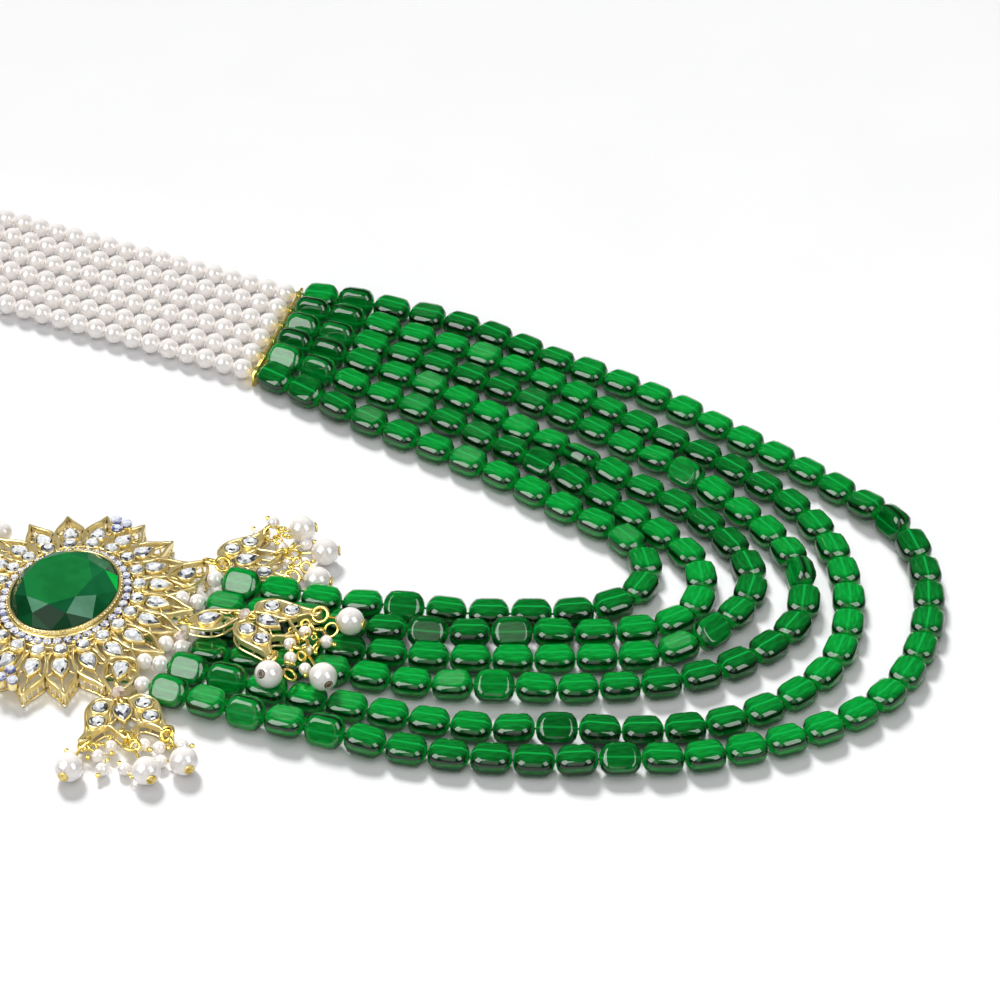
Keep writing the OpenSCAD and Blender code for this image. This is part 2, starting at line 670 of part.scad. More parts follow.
// Rings between brooch and drops: one to each outer drop, two either side of the leaf link
module link_rings() {
    link_top = link_h - 0.5;
    color("#e3c45c") {
        ring_through(brooch_point(lobe_eye(0), plate_mid),
            drop_point(drops[0], [fan_eye, 0, fan_plate_mid]));
        ring_through(brooch_point(lobe_eye(1), plate_mid),
            drop_point(drops[2], [fan_eye, 0, fan_plate_mid]));
        ring_through(brooch_point(tip_eye, tip_eye_z), link_point(-link_reach, link_top));
        ring_through(link_point(link_reach, link_top),
            drop_point(drops[1], [fan_eye, 0, fan_plate_mid]));
    }
}

module placed() { translate([origin_x, origin_y, 0]) children(); }

module drop_fan(d) { color("#cfae55") at_drop(d) fan(); }

placed() {
    for (k = STRINGS) {
        green_string(k);
        thread(k);
        far_pearls(k);
        near_pearls(k);
    }
    joining_pearls();
    spacer_bar();
    end_bar(1);  // far_end_bar
    end_bar(-1);  // near_end_bar
    clasp();
    brooch_frame();
    centre_stone();
    petal_stones();
    leaf_link();
    link_rings();
    drop_fan(drops[0]);  // drop_a_fan
    drop_ring(drops[0]);  // drop_a_ring
    drop_pearls(drops[0]);  // drop_a_pearls
    drop_fan(drops[1]);  // drop_b_fan
    drop_ring(drops[1]);  // drop_b_ring
    drop_pearls(drops[1]);  // drop_b_pearls
    drop_fan(drops[2]);  // drop_c_fan
    drop_ring(drops[2]);  // drop_c_ring
    drop_pearls(drops[2]);  // drop_c_pearls
}
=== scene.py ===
"""Looks of a layered necklace that lies on a table: green glass beads, pearls, brooch and drops.

The classes give their sizes in millimetres, as a jeweller does, and in the layout's own zero. A
finished piece is brought to metres and to the model's place by `on_table`.
"""

import logging
import math
from collections.abc import Callable, Iterator, Sequence
from contextlib import contextmanager
from dataclasses import dataclass, field
from enum import Enum

import bmesh
import bpy
from bpy.types import Material, MeshPolygon, Node, NodeSocket, NodeTree, Object
from mathutils import Matrix, Vector


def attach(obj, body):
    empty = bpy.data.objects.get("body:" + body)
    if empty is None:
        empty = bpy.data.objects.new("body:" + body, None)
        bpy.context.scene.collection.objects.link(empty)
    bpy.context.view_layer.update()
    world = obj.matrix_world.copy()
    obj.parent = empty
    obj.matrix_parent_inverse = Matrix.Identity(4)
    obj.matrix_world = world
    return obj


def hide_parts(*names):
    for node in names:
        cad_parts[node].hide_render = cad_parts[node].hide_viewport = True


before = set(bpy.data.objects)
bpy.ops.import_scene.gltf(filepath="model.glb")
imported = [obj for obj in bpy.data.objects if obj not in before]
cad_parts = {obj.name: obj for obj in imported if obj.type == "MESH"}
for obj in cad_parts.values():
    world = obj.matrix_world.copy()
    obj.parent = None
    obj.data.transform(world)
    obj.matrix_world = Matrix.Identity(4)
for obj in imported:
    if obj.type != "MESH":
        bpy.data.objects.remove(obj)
LOG = logging.getLogger("necklace")
MM = 0.001
STRINGS = range(1, 7)
# Where the layout's zero lies from the middle of the model's footprint
LAYOUT_ZERO = Vector((39.96, -85.02, 0.0))
BROOCH_MIDDLE = Vector((-94.0, 96.8, 0.0))
IN_LAYOUT = Matrix()
IN_BROOCH = Matrix.Translation(BROOCH_MIDDLE)
# A slanting way, on which no two faces of a stone lie equally far
SORT_WAY = Vector((0.3719, 1.0, 0.1733))

Point = tuple[float, float]
Spot = tuple[float, float, float]
Colour = tuple[float, float, float, float]
Stops = tuple[tuple[float, str], ...]


class Part(Enum):
    """What an edit-mode pick takes."""

    VERT = "VERT"
    EDGE = "EDGE"
    FACE = "FACE"


class Slot(Enum):
    """The record's material slots, one name for each kind of finish of the new pieces."""

    GREEN_GLASS = "green_glass"
    PEARL = "pearl"
    DROP_PEARL = "drop_pearl"
    CENTRE_GLASS = "centre_glass"
    CLEAR_GLASS = "clear_glass"
    BRIGHT_GOLD = "bright_gold"
    ANTIQUE_GOLD = "antique_gold"


# Bench work: selection, edit mode, copies


def clear_selection() -> None:
    """Leaves edit mode and deselects everything."""
    if bpy.context.object is not None and bpy.context.object.mode != "OBJECT":
        bpy.ops.object.mode_set(mode="OBJECT")
    bpy.ops.object.select_all(action="DESELECT")


def take(*pieces: Object) -> None:
    """Selects some pieces alone.

    Args:
        *pieces: The pieces. The first of them becomes the active one.
    """
    clear_selection()
    for piece in pieces:
        piece.select_set(True)
    bpy.context.view_layer.objects.active = pieces[0]


def primitive(name: str, kind: str, **settings: object) -> Object:
    """Adds a mesh primitive at its size and place.

    Args:
        name: The new piece's name.
        kind: Blender's word for the primitive, such as cylinder.
        **settings: Its sizes and place.

    Returns:
        The new object, its place in its mesh.
    """
    clear_selection()
    getattr(bpy.ops.mesh, f"primitive_{kind}_add")(**settings)
    piece = bpy.context.object
    piece.name = piece.data.name = name
    bpy.ops.object.transform_apply(location=True, rotation=True, scale=True)
    return piece


@contextmanager
def editing(piece: Object) -> Iterator[None]:
    """Opens edit mode on one piece, with nothing selected at its start.

    Args:
        piece: The piece.

    Yields:
        Nothing: the operators work on the piece.
    """
    take(piece)
    bpy.ops.object.mode_set(mode="EDIT")
    bpy.ops.mesh.select_all(action="DESELECT")
    yield
    bpy.ops.object.mode_set(mode="OBJECT")


def pick(kind: Part, test: Callable[[Vector, Vector], bool]) -> None:
    """Selects what passes a test in edit mode, and nothing else.

    Args:
        kind: Vertices, edges or faces.
        test: Takes the middle of one and its normal, or an edge's direction.
    """
    bpy.ops.mesh.select_mode(type=kind.value)
    bpy.ops.mesh.select_all(action="DESELECT")
    data = bpy.context.edit_object.data
    work = bmesh.from_edit_mesh(data)
    work.normal_update()
    if kind is Part.VERT:
        found = [v for v in work.verts if test(v.co, v.normal)]
    elif kind is Part.EDGE:
        ends = [(e, e.verts[0].co, e.verts[1].co) for e in work.edges]
        found = [e for e, a, b in ends if test((a + b) / 2, (b - a).normalized())]
    else:
        found = [f for f in work.faces if test(f.calc_center_median(), f.normal)]
    for element in found:
        element.select_set(True)
    work.select_flush_mode()
    bmesh.update_edit_mesh(data)


def bevel(test: Callable[[Vector, Vector], bool], offset: float, segments: int = 1) -> None:
    """Bevels the edges whose middle and direction pass a test."""
    pick(Part.EDGE, test)
    bpy.ops.mesh.bevel(offset=offset, segments=segments, affect="EDGES")


def extrude(x: float = 0.0, z: float = 0.0) -> None:
    """Extrudes what is selected by a move along X and Z."""
    bpy.ops.mesh.extrude_region_move(TRANSFORM_OT_translate={"value": (x, 0, z)})


def smoothed(piece: Object, flat: Callable[[Vector], bool] | None = None) -> Object:
    """Shades a piece smooth.

    Args:
        piece: The piece.
        flat: The faces whose normal passes this test stay flat.

    Returns:
        The same piece.
    """
    for face in piece.data.polygons:
        face.use_smooth = not (flat and flat(face.normal))
    return piece


def finish_mesh(piece: Object, flat: Callable[[Vector], bool] | None = None) -> Object:
    """Turns the faces outwards, puts them in a fixed order and shades them smooth.

    Args:
        piece: The piece.
        flat: The faces whose normal passes this test stay flat.

    Returns:
        The same piece.
    """
    with editing(piece):
        bpy.ops.mesh.select_all(action="SELECT")
        bpy.ops.mesh.normals_make_consistent(inside=False)
        # The operators can leave another order on each run, and the facets' tones go by it
        work = bmesh.from_edit_mesh(piece.data)
        work.faces.sort(key=lambda f: f.calc_center_median().dot(SORT_WAY))
        bmesh.update_edit_mesh(piece.data)
    return smoothed(piece, flat)


def joined(name: str, pieces: Sequence[Object]) -> Object:
    """Joins pieces into one.

    Args:
        name: The whole's name.
        pieces: The pieces. The first of them takes in the others.

    Returns:
        The whole.
    """
    take(*pieces)
    if len(pieces) > 1:
        bpy.ops.object.join()
    whole = bpy.context.object
    whole.name = whole.data.name = name
    return whole


def copies(
    name: str, master: Object, places: Sequence[Matrix], shades: Sequence[float] | None = None
) -> Object:
    """Copies one modelled piece to many places, each copy with its own mesh, and joins them.

    Args:
        name: The joined piece's name.
        master: The piece to copy, in its own frame. It is kept.
        places: Where each copy goes.
        shades: A number for each copy, kept in its `shade` attribute for the material.

    Returns:
        The joined piece.
    """
    made = []
    for i, place in enumerate(places):
        mesh = master.data.copy()
        mesh.transform(place)
        if shades is not None:
            shade = mesh.attributes.new("shade", "FLOAT", "POINT")
            shade.data.foreach_set("value", [shades[i]] * len(mesh.vertices))
        piece = bpy.data.objects.new(name, mesh)
        bpy.context.scene.collection.objects.link(piece)
        made.append(piece)
    return joined(name, made)


def drop_masters(*masters: Object) -> None:
    """Removes the pieces that were only copied from."""
    for master in masters:
        bpy.data.objects.remove(master)


def on_table(
    piece: Object,
    material: Material,
    slot: Slot,
    replaced: Sequence[str] = (),
    place: Matrix = IN_LAYOUT,
) -> None:
    """slot: The record's slot for that finish; not used.
        replaced: The solids that it stands for.
        place: The frame that it was made in, in the layout.
    """
    piece.data.transform(Matrix.Scale(MM, 4) @ Matrix.Translation(LAYOUT_ZERO) @ place)
    piece.data.materials.clear()
    piece.data.materials.append(material)
    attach(piece, "root")
    if replaced:
        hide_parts(*replaced)
    LOG.info("%s: %d faces", piece.name, len(piece.data.polygons))


def turned(degrees: float, axis: str = "Z") -> Matrix:
    """A turn about one axis as a 4 x 4 matrix."""
    return Matrix.Rotation(math.radians(degrees), 4, axis)


def moved(x: float, y: float, z: float = 0.0) -> Matrix:
    """A move as a 4 x 4 matrix."""
    return Matrix.Translation((x, y, z))


def along(a: Vector, b: Vector, spin: float = 0.0) -> Matrix:
    """A frame halfway between two points, for a piece made along +X.

    Args:
        a: The point behind it.
        b: The point that it looks to.
        spin: Its turn on that line, in degrees.

    Returns:
        The frame.
    """
    way = b - a
    lift = -math.asin(way.z / way.length)
    return (
        Matrix.Translation((a + b) / 2)
        @ Matrix.Rotation(math.atan2(way.y, way.x), 4, "Z")
        @ Matrix.Rotation(lift, 4, "Y")
        @ turned(spin, "X")
    )


def pointed(middle: Vector, way: Vector, spin: float = 0.0) -> Matrix:
    """A frame at a point with X along a way, spun by degrees on it."""
    return along(middle - way, middle + way, spin)


def scattered(i: float, drift: float = 0.0) -> float:
    """A number from 0 to 1 that jumps about as i counts up, the same on every run."""
    return 0.5 + 0.5 * math.sin(12.9898 * i + drift)


# Lines: smooth curves through a few points, and even steps along them


def level(points: Sequence[Point], side: int = 1) -> list[Vector]:
    """Points of a table as a line at height 0, mirrored across X where side is -1."""
    return [Vector((x, side * y, 0.0)) for x, y in points]


def span_point(a: Vector, b: Vector, c: Vector, d: Vector, t: float) -> Vector:
    """Finds a point of a Catmull-Rom curve.

    Args:
        a: The point before the span.
        b: The span's start.
        c: Its end.
        d: The point after it.
        t: How far along the span, from 0 to 1.

    Returns:
        The point.
    """
    return (
        2 * b
        + (c - a) * t
        + (2 * a - 5 * b + 4 * c - d) * t * t
        + (3 * b - a - 3 * c + d) * t * t * t
    ) / 2


def curve_through(points: Sequence[Vector], per_span: int = 3) -> list[Vector]:
    """Draws a smooth open curve through points, its ends carried on straight.

    Args:
        points: The points.
        per_span: Steps from one of them to the next.

    Returns:
        The points of the curve.
    """
    q = [2 * points[0] - points[1], *points, 2 * points[-1] - points[-2]]
    line = [
        span_point(*q[i - 1 : i + 3], s / per_span)
        for i in range(1, len(q) - 2)
        for s in range(per_span)
    ]
    return [*line, q[-2]]


def evenly(line: Sequence[Vector], count: int) -> list[Vector]:
    """Marks even lengths along a line of points.

    Args:
        line: The points of the line.
        count: How many lengths.

    Returns:
        count + 1 points, the line's two ends among them.
    """
    sums = [0.0]
    for a, b in zip(line, line[1:]):
        sums.append(sums[-1] + (b - a).length)
    found, i = [], 1
    for n in range(count + 1):
        s = sums[-1] * n / count
        while i < len(sums) - 1 and sums[i] < s:
            i += 1
        found.append(line[i - 1].lerp(line[i], (s - sums[i - 1]) / (sums[i] - sums[i - 1])))
    return found


def length_of(line: Sequence[Vector]) -> float:
    """The length of a line of points."""
    return sum((b - a).length for a, b in zip(line, line[1:]))


def both_sides(side: Sequence[Point], smooth: int = 1) -> list[Vector]:
    """Closes an outline from its half.

    Args:
        side: The half, as points along and across.
        smooth: Steps to a span, or 1 to leave the points as they are.

    Returns:
        The outline's points.
    """
    half = level(side)
    if smooth > 1:
        half = curve_through(half, smooth)
    back = [Vector((p.x, -p.y, 0.0)) for p in reversed(half) if abs(p.y) > 0.02]
    return half + back


def oval(a: float, b: float, count: int, middle: Point = (0.0, 0.0)) -> list[Vector]:
    """Points round an oval with half-axes a and b."""
    steps = [math.tau * i / count for i in range(count)]
    x, y = middle
    return [Vector((x + a * math.cos(t), y + b * math.sin(t), 0.0)) for t in steps]


# Half the outline of a pear-shaped stone
PEAR_SIDE = (
    (-2.6, 0.0), (-2.4, 1.0), (-1.7, 1.75), (-0.5, 2.1), (0.8, 1.8), (2.0, 1.1), (3.4, 0.0),
)


def pear(size: float, at: float = 0.0, smooth: int = 1) -> list[Vector]:
    """The outline of a pear-shaped stone or its collet, its middle at x."""
    return [p * size + Vector((at, 0, 0)) for p in both_sides(PEAR_SIDE, smooth)]


# Metalwork: wires, upright strips, posts and cast blocks


@dataclass(frozen=True)
class Band:
    """An upright strip: half its thickness, and its lower and upper edge over a base."""

    half: float
    low: float
    high: float


@dataclass(frozen=True)
class Collet:
    """The cup of a stone: its underside and rim over a base, and the rim's width and depth."""

    low: float
    high: float
    rim: float
    deep: float


@dataclass(frozen=True)
class Cut:
    """A flat cut: underside over a base, girdle's and crown's height, and the table's share."""

    low: float
    girdle: float
    crown: float
    table: float


def swept(
    name: str, line: Sequence[Vector], half: float, tall: float = 0.0, closed: bool = True
) -> Object:
    """Makes a wire or an upright strip along a line.

    Args:
        name: The piece's name.
        line: The points that its middle follows.
        half: Half its thickness, and the radius of its rounded edges.
        tall: How much taller than thick it is.
        closed: Whether it comes back to its start.

    Returns:
        A closed mesh.
    """
    clear_selection()
    bpy.ops.curve.primitive_nurbs_path_add()
    shape = bpy.context.object.data
    shape.splines.clear()
    spline = shape.splines.new("POLY")
    spline.points.add(len(line) - 1)
    for target, p in zip(spline.points, line):
        target.co = (*p, 1.0)
    spline.use_cyclic_u = closed
    shape.dimensions = "3D"
    shape.twist_mode = "Z_UP"
    shape.fill_mode = "FULL"
    shape.bevel_depth = half
    shape.bevel_resolution = 1
    shape.extrude = tall / 2
    shape.use_fill_caps = not closed
    bpy.ops.object.convert(target="MESH")
    piece = bpy.context.object
    piece.name = piece.data.name = name
    bpy.ops.object.transform_apply(location=True, rotation=True, scale=True)
    with editing(piece):
        bpy.ops.mesh.select_all(action="SELECT")
        bpy.ops.mesh.remove_doubles(threshold=0.01)
        bpy.ops.mesh.normals_make_consistent(inside=False)
    return smoothed(piece)


def strip(
    name: str, line: Sequence[Vector], band: Band, base: float = 0.0, closed: bool = True
) -> Object:
    """Makes an upright strip with rounded edges along a level line.

    Args:
        name: The piece's name.
        line: The line.
        band: The strip's sizes.
        base: The height that they count from.
        closed: Whether it comes back to its start.

    Returns:
        A closed mesh.
    """
    middle = base + (band.low + band.high) / 2
    raised = [Vector((p.x, p.y, middle)) for p in line]
    return swept(name, raised, band.half, max(band.high - band.low - 2 * band.half, 0.0), closed)


def rod(a: Vector, b: Vector, radius: float) -> Object:
    """A straight pin between two points."""
    return swept("rod", [a, (a + b) / 2, b], radius, closed=False)


def wire_ring(radius: float, wire: float, place: Matrix, sides: int = 20) -> Object:
    """Makes a closed ring of round wire.

    Args:
        radius: From its middle to the middle of the wire.
        wire: The wire's radius.
        place: The frame that it lies flat in.
        sides: Facets round it.

    Returns:
        A closed mesh.
    """
    ring = primitive(
        "ring", "torus", major_radius=radius, minor_radius=wire, major_segments=sides,
        minor_segments=8,
    )
    ring.data.transform(place)
    return smoothed(ring)


def posts(spots: Sequence[Vector], band: Band, top: float) -> list[Object]:
    """Makes the six-sided posts of a gallery.

    Args:
        spots: Where they stand.
        band: Their radius, their foot over the table, and their upper end from the top.
        top: The gallery's top.

    Returns:
        The posts.
    """
    high = top + band.high
    size = {"vertices": 6, "radius": band.half, "depth": high - band.low}
    middle = (band.low + high) / 2
    return [primitive("post", "cylinder", **size, location=(p.x, p.y, middle)) for p in spots]


def block(name: str, outline: Sequence[Vector], low: float, high: float) -> Object:
    """Makes a flat block of an outline's shape.

    Args:
        name: The piece's name.
        outline: The outline.
        low: Height of its underside.
        high: Height of its top.

    Returns:
        A closed mesh with flat faces.
    """
    piece = primitive(name, "circle", vertices=len(outline), fill_type="NGON")
    for vertex, p in zip(piece.data.vertices, outline):
        vertex.co = (p.x, p.y, low)
    with editing(piece):
        bpy.ops.mesh.select_all(action="SELECT")
        extrude(z=high - low)
    return finish_mesh(piece, lambda n: True)


def cup(name: str, outline: Sequence[Vector], collet: Collet, base: float) -> Object:
    """Makes a collet: a block with a softened rim round the sunk seat of its stone.

    Args:
        name: The piece's name.
        outline: Its outside.
        collet: Its sizes.
        base: The height that they count from.

    Returns:
        A closed mesh.
    """
    piece = block(name, outline, base + collet.low, base + collet.high)
    near_top = base + collet.high - 0.01
    with editing(piece):
        pick(Part.FACE, lambda m, n: n.z > 0.9 and m.z > near_top)
        bpy.ops.mesh.inset(thickness=collet.rim)
        extrude(z=-collet.deep)
        bevel(lambda m, w: m.z > near_top and abs(w.z) < 0.5, 0.16)
    finish_mesh(piece)
    take(piece)
    bpy.ops.object.shade_smooth_by_angle(angle=math.radians(50))
    return piece


def cut_stone(name: str, outline: Sequence[Vector], cut: Cut, base: float) -> Object:
    """Cuts a stone with an upright girdle, sloping crown facets and a flat table.

    Args:
        name: The piece's name.
        outline: Its girdle.
        cut: Its sizes.
        base: The height that they count from.

    Returns:
        A closed mesh with flat facets.
    """
    piece = block(name, outline, base + cut.low, base + cut.low + cut.girdle)
    middle = sum(outline, Vector()) / len(outline)
    # The crown goes in a little to its shoulder and then over to the table
    shoulder = (1 + cut.table) / 2 + 0.07
    with editing(piece):
        pick(Part.FACE, lambda m, n: n.z > 0.9)
        for share, rise in ((shoulder, 0.62), (cut.table / shoulder, 0.38)):
            extrude(z=cut.crown * rise)
            bpy.ops.transform.resize(
                value=(share, share, 1), center_override=(middle.x, middle.y, 0)
            )
    return finish_mesh(piece, lambda n: True)


def mixed_tone(face: MeshPolygon) -> float:
    """Picks a facet's tone, a painted reflection: tables pale, girdles dark, and crown facets all
    tones.

    Args:
        face: The facet.

    Returns:
        Its tone from 0 to 1.
    """
    if face.normal.z > 0.97:
        return 0.9 + 0.1 * math.sin(1.7 * face.index)
    if face.normal.z < 0.2:
        return 0.05
    return scattered(face.index, 1.3 * math.sin(0.37 * face.index))


def facet_tones(piece: Object, tone: Callable[[MeshPolygon], float] = mixed_tone) -> None:
    """Gives every facet a tone in the attribute `facet`, for the stone's finish."""
    facet = piece.data.attributes.new("facet", "FLOAT", "FACE")
    facet.data.foreach_set("value", [tone(face) for face in piece.data.polygons])


# Finishes: one material each, named for what the real one is


def linear(colour: str) -> Colour:
    """Turns an sRGB hex colour, such as #c9a94e, to linear RGBA."""
    parts = [int(colour[i : i + 2], 16) / 255 for i in (1, 3, 5)]
    r, g, b = (c / 12.92 if c <= 0.04045 else ((c + 0.055) / 1.055) ** 2.4 for c in parts)
    return r, g, b, 1.0


def add_node(
    tree: NodeTree,
    kind: str,
    settings: dict[str, object] | None = None,
    links: dict[str, Node | NodeSocket] | None = None,
) -> Node:
    """Adds one node.

    Args:
        tree: The tree that it goes into.
        kind: Its type after the word ShaderNode, such as TexNoise.
        settings: Its own properties in lower case, its sockets by name, and the stops of a ramp.
            Colours are hex.
        links: What feeds its inputs, by name: a socket, or a node for its first socket.

    Returns:
        The node.
    """
    node = tree.nodes.new(f"ShaderNode{kind}")
    for name, value in (settings or {}).items():
        if name == "stops":
            bar = node.color_ramp.elements
            while len(bar) < len(value):
                bar.new(0.5)
            for element, (place, colour) in zip(bar, value):
                element.position = place
                element.color = linear(colour)
        elif hasattr(node, name):
            setattr(node, name, value)
        else:
            node.inputs[name].default_value = linear(value) if isinstance(value, str) else value
    for name, source in (links or {}).items():
        tree.links.new(
            source.outputs[0] if isinstance(source, Node) else source, node.inputs[name]
        )
    return node


def per_metre(size_mm: float) -> float:
    """The scale of a noise whose lumps are about size_mm across."""
    return 1.0 / (size_mm * MM)


@dataclass(frozen=True)
class Finish:
    """A finish: the shader's own constant sockets, and a pattern that feeds the others."""

    name: str
    constants: dict[str, object]

    def make(self) -> Material:
        """Makes the material.

        Returns:
            The material, its pattern on Object coordinates or on the piece's attributes.
        """
        material = bpy.data.materials.new(self.name)
        material.use_nodes = True
        tree = material.node_tree
        tree.nodes.clear()
        place = add_node(tree, "TexCoord").outputs["Object"]
        shader = add_node(tree, "BsdfPrincipled", self.constants, self.pattern(tree, place))
        add_node(tree, "OutputMaterial", links={"Surface": shader})
        return material

    def pattern(self, tree: NodeTree, place: NodeSocket) -> dict[str, Node]:
        """Builds what feeds the shader.

        Args:
            tree: The material's tree.
            place: Its Object coordinates.

        Returns:
            A node for each of the shader's inputs that has a pattern.
        """
        raise NotImplementedError


@dataclass(frozen=True)
class CloudFinish(Finish):
    """A quiet finish whose tone wanders a little between two colours."""

    tones: tuple[str, str]
    cloud_mm: float
    detail: float = 2.0

    def pattern(self, tree: NodeTree, place: NodeSocket) -> dict[str, Node]:
        """Lays clouds of two tones.

        Args:
            tree: The material's tree.
            place: Its Object coordinates.

        Returns:
            A node for each of the shader's inputs that has a pattern.
        """
        clouds = add_node(
            tree,
            "TexNoise",
            {"Scale": per_metre(self.cloud_mm), "Detail": self.detail},
            {"Vector": place},
        )
        stops = ((0.3, self.tones[0]), (0.7, self.tones[1]))
        return {"Base Color": add_node(tree, "ValToRGB", {"stops": stops}, {"Fac": clouds})}


@dataclass(frozen=True)
class PearlFinish(CloudFinish):
    """Nacre clouds under a dipped coat that is very slightly uneven."""

    coat_mm: float = 2.0
    coat_deep_mm: float = 0.01

    def pattern(self, tree: NodeTree, place: NodeSocket) -> dict[str, Node]:
        """Lays clouds, and the coat's swells.

        Args:
            tree: The material's tree.
            place: Its Object coordinates.

        Returns:
            A node for each of the shader's inputs that has a pattern.
        """
        swells = add_node(tree, "TexNoise", {"Scale": per_metre(self.coat_mm)}, {"Vector": place})
        depth = {"Strength": 0.05, "Distance": self.coat_deep_mm * MM}
        return super().pattern(tree, place) | {
            "Normal": add_node(tree, "Bump", depth, {"Height": swells})
        }


@dataclass(frozen=True)
class GlassBeadFinish(Finish):
    """Pressed glass with painted light and shade: a dark band in its sides, lighter flats, a
    bright drill line and bright ends, as light through the glass would show them.
    """

    # Painted light and shade by height over the bead's middle plane: light there, a dark band, and
    # lighter flats
    sides: Stops = (
        (0.0, "#00b23c"), (0.22, "#00802a"), (0.42, "#00280a"), (0.58, "#004416"),
        (0.78, "#009a38"), (1.0, "#00ae3e"),
    )
    streaks: Stops = ((0.3, "#b4b4b4"), (0.68, "#ffffff"))
    # No two beads of a batch are quite as deep in colour
    batch: Stops = ((0.0, "#b8b8b8"), (0.5, "#e8e8e8"), (1.0, "#ffffff"))
    # Painted light: thrown up by the table, along the drill hole, and through the thin glass at
    # the ends
    lit: str = "#06983c"
    line: str = "#0cb04a"
    end: str = "#04b03c"
    swell_mm: float = 1.6
    swell_deep_mm: float = 0.02

    def pattern(self, tree: NodeTree, place: NodeSocket) -> dict[str, Node]:
        """Paints light and shade by the place in each bead, and lays streaks and the tumbled skin.

        Args:
            tree: The material's tree.
            place: Its Object coordinates.

        Returns:
            A node for each of the shader's inputs that has a pattern.
        """
        own = add_node(tree, "Attribute", {"attribute_name": "own_mm"}).outputs["Vector"]
        shade = add_node(tree, "Attribute", {"attribute_name": "shade"}).outputs["Fac"]
        axes = add_node(tree, "SeparateXYZ", links={"Vector": own})
        # Spans in mm from the bead's middle planes, where a share of painted light and shade goes
        # from 0 to 1: Z up to the flats, Y into the painted bright drill line, X over the thin
        # glass before the thread, lit in paint
        spans = {"Z": (0.0, 3.0), "Y": (0.42, 0.1), "X": (4.9, 5.6)}
        share = {}
        for axis, (low, high) in spans.items():
            off = {"Value": axes.outputs[axis]}
            size = add_node(tree, "Math", {"operation": "ABSOLUTE"}, off)
            ends = {"From Min": low, "From Max": high}
            share[axis] = add_node(tree, "MapRange", ends, {"Value": size})
        # Light thrown up by the table reaches the lowest 2 mm of every bead
        up = add_node(tree, "SeparateXYZ", links={"Vector": place}).outputs["Z"]
        reach = {"From Min": 2.4 * MM, "From Max": 0.8 * MM, "To Max": 0.9}
        thrown = add_node(tree, "MapRange", reach, {"Value": up})
        body = add_node(tree, "ValToRGB", {"stops": self.sides}, {"Fac": share["Z"]})
        body = add_node(tree, "MixRGB", {"Color2": self.lit}, {"Color1": body, "Fac": thrown})
        # Streaks run along the bead, as the drawn rod did: 4 mm long and 0.7 mm wide
        drawn = add_node(tree, "Mapping", {"Scale": (0.25, 1.4, 1.4)}, {"Vector": own})
        grain = {"noise_dimensions": "4D", "Scale": 1.0, "Detail": 2.0}
        streaks = add_node(tree, "TexNoise", grain, {"Vector": drawn, "W": shade})
        for stops, fac in ((self.streaks, streaks), (self.batch, shade)):
            tone = add_node(tree, "ValToRGB", {"stops": stops}, {"Fac": fac})
            ways = {"blend_type": "MULTIPLY", "Fac": 1.0}
            body = add_node(tree, "MixRGB", ways, {"Color1": body, "Color2": tone})
        # A painted bright line where light shows along the drill hole, and painted light through
        # the thin ends
        for colour, axis in ((self.line, "Y"), (self.end, "X")):
            laid = {"Color1": body, "Fac": share[axis]}
            body = add_node(tree, "MixRGB", {"Color2": colour}, laid)
        size = {"Scale": per_metre(self.swell_mm), "Detail": 2.0}
        swells = add_node(tree, "TexNoise", size, {"Vector": place})
        depth = {"Strength": 0.4, "Distance": self.swell_deep_mm * MM}
        return {"Base Color": body, "Normal": add_node(tree, "Bump", depth, {"Height": swells})}


@dataclass(frozen=True)
class GoldFinish(Finish):
    """Gold plate: bright where handled, with painted shade that darkens its hollows."""

    bright: str = "#efd888"
    # Spots of wear; on the hammered disc this tone is the painted glint of its dents
    wear_and_glint: str = "#fff2c4"
    # The colour of the painted shade in the hollows
    dark: str = "#7c6224"
    cloud_mm: float = 2.5
    # How far the painted shade in the hollows reaches: the distance that ambient occlusion looks
    # over
    shade_reach_mm: float = 0.7
    # Grain of the cast or drawn skin, coarser than the real one so that it shows
    grain_mm: float = 0.35
    grain_deep_mm: float = 0.01

    def pattern(self, tree: NodeTree, place: NodeSocket) -> dict[str, Node]:
        """Lays clouds of gold, painted shade in the hollows, and the grain.

        Args:
            tree: The material's tree.
            place: Its Object coordinates.

        Returns:
            A node for each of the shader's inputs that has a pattern.
        """
        size = {"Scale": per_metre(self.cloud_mm), "Detail": 3.0}
        clouds = add_node(tree, "TexNoise", size, {"Vector": place})
        stops = ((0.3, self.bright), (0.75, self.wear_and_glint))
        tone = add_node(tree, "ValToRGB", {"stops": stops}, {"Fac": clouds})
        # Painted shade: ambient occlusion turns the hollows to the dark colour
        near = {"samples": 4, "Distance": self.shade_reach_mm * MM}
        hollow = add_node(tree, "AmbientOcclusion", near).outputs["AO"]
        unshaded_share = add_node(tree, "MapRange", {"From Min": 0.3, "From Max": 0.8}, {"Value": hollow})
        laid = {"Fac": unshaded_share, "Color2": tone}
        size = {"Scale": per_metre(self.grain_mm), "Detail": 2.0}
        grain = add_node(tree, "TexNoise", size, {"Vector": place})
        depth = {"Strength": 1.0, "Distance": self.grain_deep_mm * MM}
        return {
            "Base Color": add_node(tree, "MixRGB", {"Color1": self.dark}, laid),
            "Normal": add_node(tree, "Bump", depth, {"Height": grain}),
        }


